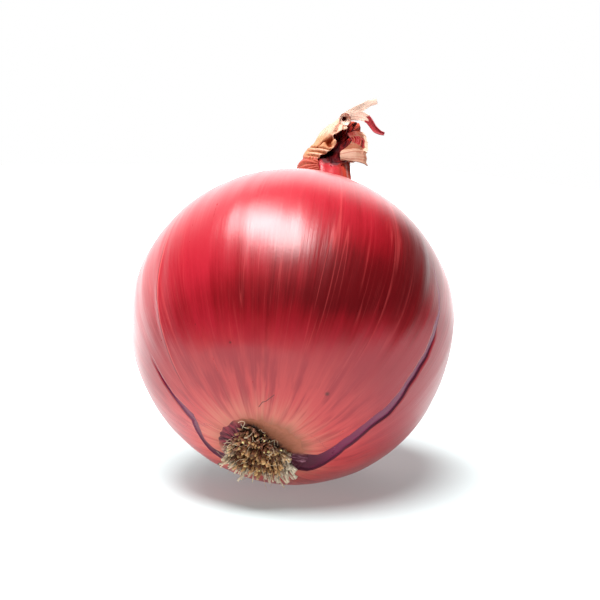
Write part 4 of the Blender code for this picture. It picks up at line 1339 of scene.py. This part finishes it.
# %% Torn strips
# side, front, height along the neck axis and width, in mm
STRIPS = {
    "upper_strip": (
        (-1.0, 4.4, 68.0, 1.6), (0.7, 5.0, 69.4, 1.9), (2.0, 5.2, 70.5, 2.1), (3.4, 5.6, 71.8, 2.0),
        (4.9, 6.0, 73.3, 1.9), (6.7, 6.4, 74.1, 1.6),
    ),
    "lower_strip": (
        (-0.6, 5.8, 66.6, 1.8), (0.8, 6.2, 67.4, 2.5), (2.5, 6.5, 67.5, 2.7), (4.1, 6.9, 67.2, 2.3),
        (5.7, 7.4, 66.2, 2.0), (7.2, 8.0, 64.3, 1.9), (8.5, 8.6, 62.4, 1.7), (9.7, 8.9, 61.4, 1.1),
        (10.8, 9.1, 61.1, 0.7),
    ),
}
STRIP_ENDS = {"upper_strip": (1.5, 0.0), "lower_strip": (0.42, 0.5)}  # where it darkens, curl of its end
STRIP_BREADTH = (-0.2, 0.6, 0.77)  # the way across the strips: side, front and along the neck
STRIP_RINGS = 160
STRIP_COLUMNS = 40
STRIP_COLOURS = (
    (0.84, 0.52, 0.39, 1),
    (0.90, 0.68, 0.56, 1),
    (0.84, 0.45, 0.34, 1),
    (0.72, 0.35, 0.25, 1),
    (0.32, 0.026, 0.034, 1),
)  # tan, pale, rosy, crease and dark


def strip_surface(path, dark_from, curl, seed):
    """A ribbon: its path plus its breadth times a share of its width, with a bow and fine ridges."""
    rows = smooth_rows(path, STRIP_RINGS) * MM
    line = neck_points(*rows.T[:3])
    run = np.gradient(line, axis=0)
    breadth = neck_points(*STRIP_BREADTH) - np.zeros_like(line)
    breadth -= run * (np.sum(breadth * run, axis=1) / np.sum(run * run, axis=1))[:, None]
    breadth = unit(breadth)
    face = unit(np.cross(run, breadth))
    along = np.linspace(0, 1, STRIP_RINGS)[:, None]
    across = np.linspace(-1, 1, STRIP_COLUMNS)[None, :]
    torn = 1 + 0.10 * ripples(2 * across, along * 22, (1, 2), 1.0, seed)
    half = 0.5 * rows[:, 3:] * torn
    bow = 0.10 * MM * across**2 * np.cos(3 * along * math.pi + seed)
    bow = bow + curl * half * across**2 * ease(along, 0.5, 0.8)
    lines = ripples(across * 4, along, (2, 3, 5), 1.0, seed + 1)
    twist = 0.15 * np.sin(4 * along + seed)
    out = half * across
    points = line[:, None, :] + (out * np.cos(twist))[..., None] * breadth[:, None, :]
    lift = bow + 0.008 * MM * lines + out * np.sin(twist)
    points = points + lift[..., None] * face[:, None, :]
    dark = ease(along + 0.04 * ripples(across * 2, along, (1, 3), 0, seed), dark_from, dark_from + 0.10)
    worn = ease(ripples(across * 5, along, (2, 3), 2.0, seed + 3), 0.4, 1.3)
    values = {
        "crease": 0.6 * ease(-lines, 0.6, 2.0),
        "rosy": 0.15 + 0.2 * np.abs(across),
        "dark": dark * (1 - 0.35 * worn),
        "pale": 0.75,
        "fibre": vector(across * 1.6, along * 0.5, 0),
    }
    return points, values


strip_papers = [paper_finish("strip_paper", *STRIP_COLOURS, depth=0.015 * MM)]
for seed, (strip_name, (dark_from, curl)) in enumerate(STRIP_ENDS.items(), start=70):
    add_paper(strip_name, strip_surface(STRIPS[strip_name], dark_from, curl, seed), strip_papers)

# %% [markdown]
# Between the wrap and the strips the paper is rolled up. The roll's open end looks at us as a pale
# ring round a dark hole, whose inside is painted dark as shade. It is a spiral of sheet whose radius
# flares out towards the open end.

# %% Rolled end of the wrap
SCROLL_END = (-0.15, 8.1, 64.05)  # side, front and height in mm
SCROLL_WAY = (0.20, 0.74, -0.64)  # the way its open end looks
SCROLL_LENGTH = 3.4 * MM
SCROLL_TURNS = 1.35


def scroll_surface():
    """Circles round a straight line.

    The radius shrinks along the spiral, closes behind and flares in front.
    """
    along = np.linspace(0, 1, STRIP_RINGS)[:, None]
    share = np.linspace(0, 1, 2 * STRIP_COLUMNS)[None, :]
    turn = 2 * math.pi * SCROLL_TURNS * share + 0.8
    lip = ease(along, 0.45, 1.0)
    radius = (0.80 + 0.85 * lip**2 - 0.16 * share) * ease(along, -0.15, 0.30) * MM
    radius = radius * (1 + 0.05 * ripples(turn, along, (2, 3, 5), 1.0, 97))
    way = unit(neck_points(*SCROLL_WAY))
    side = unit(np.cross(way, AXES @ np.array((0.0, 0.0, 1.0))))
    across = np.cross(way, side)
    line = neck_points(*(np.array(SCROLL_END) * MM)) - SCROLL_LENGTH * (1 - along)[..., None] * way
    points = line + radius[..., None] * (np.cos(turn)[..., None] * side + np.sin(turn)[..., None] * across)
    points = points + (0.25 * MM * ripples(turn, along, (2, 3), 0.5, 98) * lip)[..., None] * way
    values = {
        "crease": 0.5 * ease(ripples(turn * 3, along, (2, 3), 1.0, 99), 0.3, 1.2),
        "rosy": 0.1,
        # Painted shade: the inside of the roll is darkened, which makes the hole dark.
        "dark": (1 - ease(along, 0.36, 0.58)) * ease(share, 0.22, 0.34),
        "pale": 1,
        "fibre": vector(turn * 2, along * 1.5, 0),
    }
    return points, values


add_paper("rolled_end", scroll_surface(), strip_papers * 2)

# %% [markdown]
# At the right a flap of the same paper is folded over twice, with its red inside showing between its
# tan edges. It is a surface ruled between fold lines, rounded by running a smooth curve through them.

# %% Folded flap
# Left and right end of each fold line from the top down: side, front and height in mm
FLAP_FOLDS = (
    (1.0, 5.2, 61.8, 5.6, 6.4, 62.6),
    (1.9, 5.4, 60.7, 6.5, 6.1, 61.2),
    (2.8, 5.6, 59.5, 7.0, 6.0, 59.6),
    (2.5, 5.9, 57.4, 7.4, 6.3, 57.6),
    (1.6, 7.0, 54.8, 7.4, 7.4, 55.6),
    (0.9, 7.7, 53.0, 7.5, 8.2, 54.4),
    (1.1, 7.7, 51.4, 7.9, 8.2, 52.2),
    (1.5, 7.3, 50.5, 8.6, 8.2, 50.3),
)
FLAP_ROWS = 150
FLAP_COLUMNS = 90
FLAP_COLOURS = (
    (0.20, 0.056, 0.023, 1),
    (0.86, 0.58, 0.42, 1),
    (0.24, 0.008, 0.009, 1),
    (0.24, 0.040, 0.018, 1),
    (0.10, 0.005, 0.007, 1),
)  # tan, pale, rosy, crease and dark


def flap_surface():
    """Straight rules between the two ends of each fold line, with ripples out of the surface."""
    rows = smooth_rows(FLAP_FOLDS, FLAP_ROWS) * MM
    down = np.linspace(0, 1, FLAP_ROWS)[:, None]
    share = np.linspace(0, 1, FLAP_COLUMNS)[None, :]
    ragged = 1 + 0.035 * ripples(0.0, down * 20, (1, 2, 3), 2.0, 81)
    left, right = rows[:, None, :3], rows[:, None, 3:]
    grid = left + (right - left) * (share * ragged)[..., None]
    waves = 0.16 * ripples(share * 4, down * 9, (1, 2, 3), 1.0, 83) + 0.5 * np.sin(math.pi * share)
    stripes = ripples(share * 9, down * 2, (2, 3, 5), 0.6, 85)
    pleats = ripples(down * 34 + share * 3, share * 2, (1, 2, 3), 1.5, 87)
    slant = down - 0.25 * (share - 0.4)
    inside = ease(down, 0.13, 0.20) * (1 - ease(slant, 0.38, 0.45)) * ease(share, -0.08, 0.03)
    inside = inside * (1 - ease(share, 0.74, 0.84))
    top = 1 - ease(down, 0.11, 0.17)
    band = ease(down, 0.58, 0.66)
    corner = ease(slant, 0.40, 0.48) * (1 - band)
    out = (waves + 0.16 * stripes * inside - 0.5 * ease(share, 0.86, 1.0)) * MM
    points = neck_points(grid[..., 0], grid[..., 1] + out, grid[..., 2])
    crease = inside * ease(stripes, 0.2, 1.2) + 0.7 * top * ease(np.sin(90 * down), -0.4, 0.6)
    crease = crease + (0.8 * corner + 0.7 * band) * ease(pleats, 0.1, 1.2)
    pale = 0.03 + ease(share, 0.78, 0.92) * (1 - band) + band * (0.30 - 0.10 * share)
    values = {
        "crease": np.clip(crease, 0, 1),
        "rosy": np.clip(1.2 * inside + 0.9 * top * (1 - 0.6 * share) + 0.4 * band * share, 0, 1),
        "dark": 0.8 * inside * ease(-stripes, 0.3, 1.2),
        "pale": np.clip(pale, 0, 1),
        "fibre": vector(down * 6, share * 1.2, 0),
    }
    return points, values


flap_papers = [paper_finish("flap_paper", *FLAP_COLOURS)] * 2
add_paper("folded_flap", flap_surface(), flap_papers)

# %% [markdown]
# A narrow band of the wrap turns round the right side of the neck and carries the flap.

# %% Band behind the flap
BAND_PATH = (
    (1.6, -4.2, 60.4, 1.6), (2.9, -3.1, 60.0, 1.6), (4.3, -1.4, 59.0, 1.8), (4.9, 1.2, 58.0, 2.2),
    (4.8, 4.2, 57.4, 2.8), (4.1, 6.4, 57.4, 3.4),
)  # side, front, middle height and width in mm


def band_surface():
    """A standing ribbon: its plan line, and heights above and below its middle."""
    rows = smooth_rows(BAND_PATH, STRIP_RINGS) * MM
    side, front, middle, width = (rows[:, place : place + 1] for place in range(4))
    along = np.linspace(0, 1, STRIP_RINGS)[:, None]
    across = np.linspace(-1, 1, STRIP_COLUMNS)[None, :]
    torn = 1 + 0.14 * ripples(across, along * 18, (1, 2), 1.0, 91)
    ridges = 0.14 * ripples(along * 14, across * 1.5, (1, 2, 3), 0.8, 93)
    points = neck_points(side + ridges * MM, front, middle + 0.5 * width * torn * across)
    values = {
        # Painted shade in the valleys between the band's ridges.
        "crease": ease(-ridges, 0.05, 0.22),
        "rosy": 0.5,
        "dark": 0,
        "pale": 0.2,
        "fibre": vector(along * 6, across * 0.4, 0),
    }
    return points, values


add_paper("neck_band", band_surface(), wrap_papers)
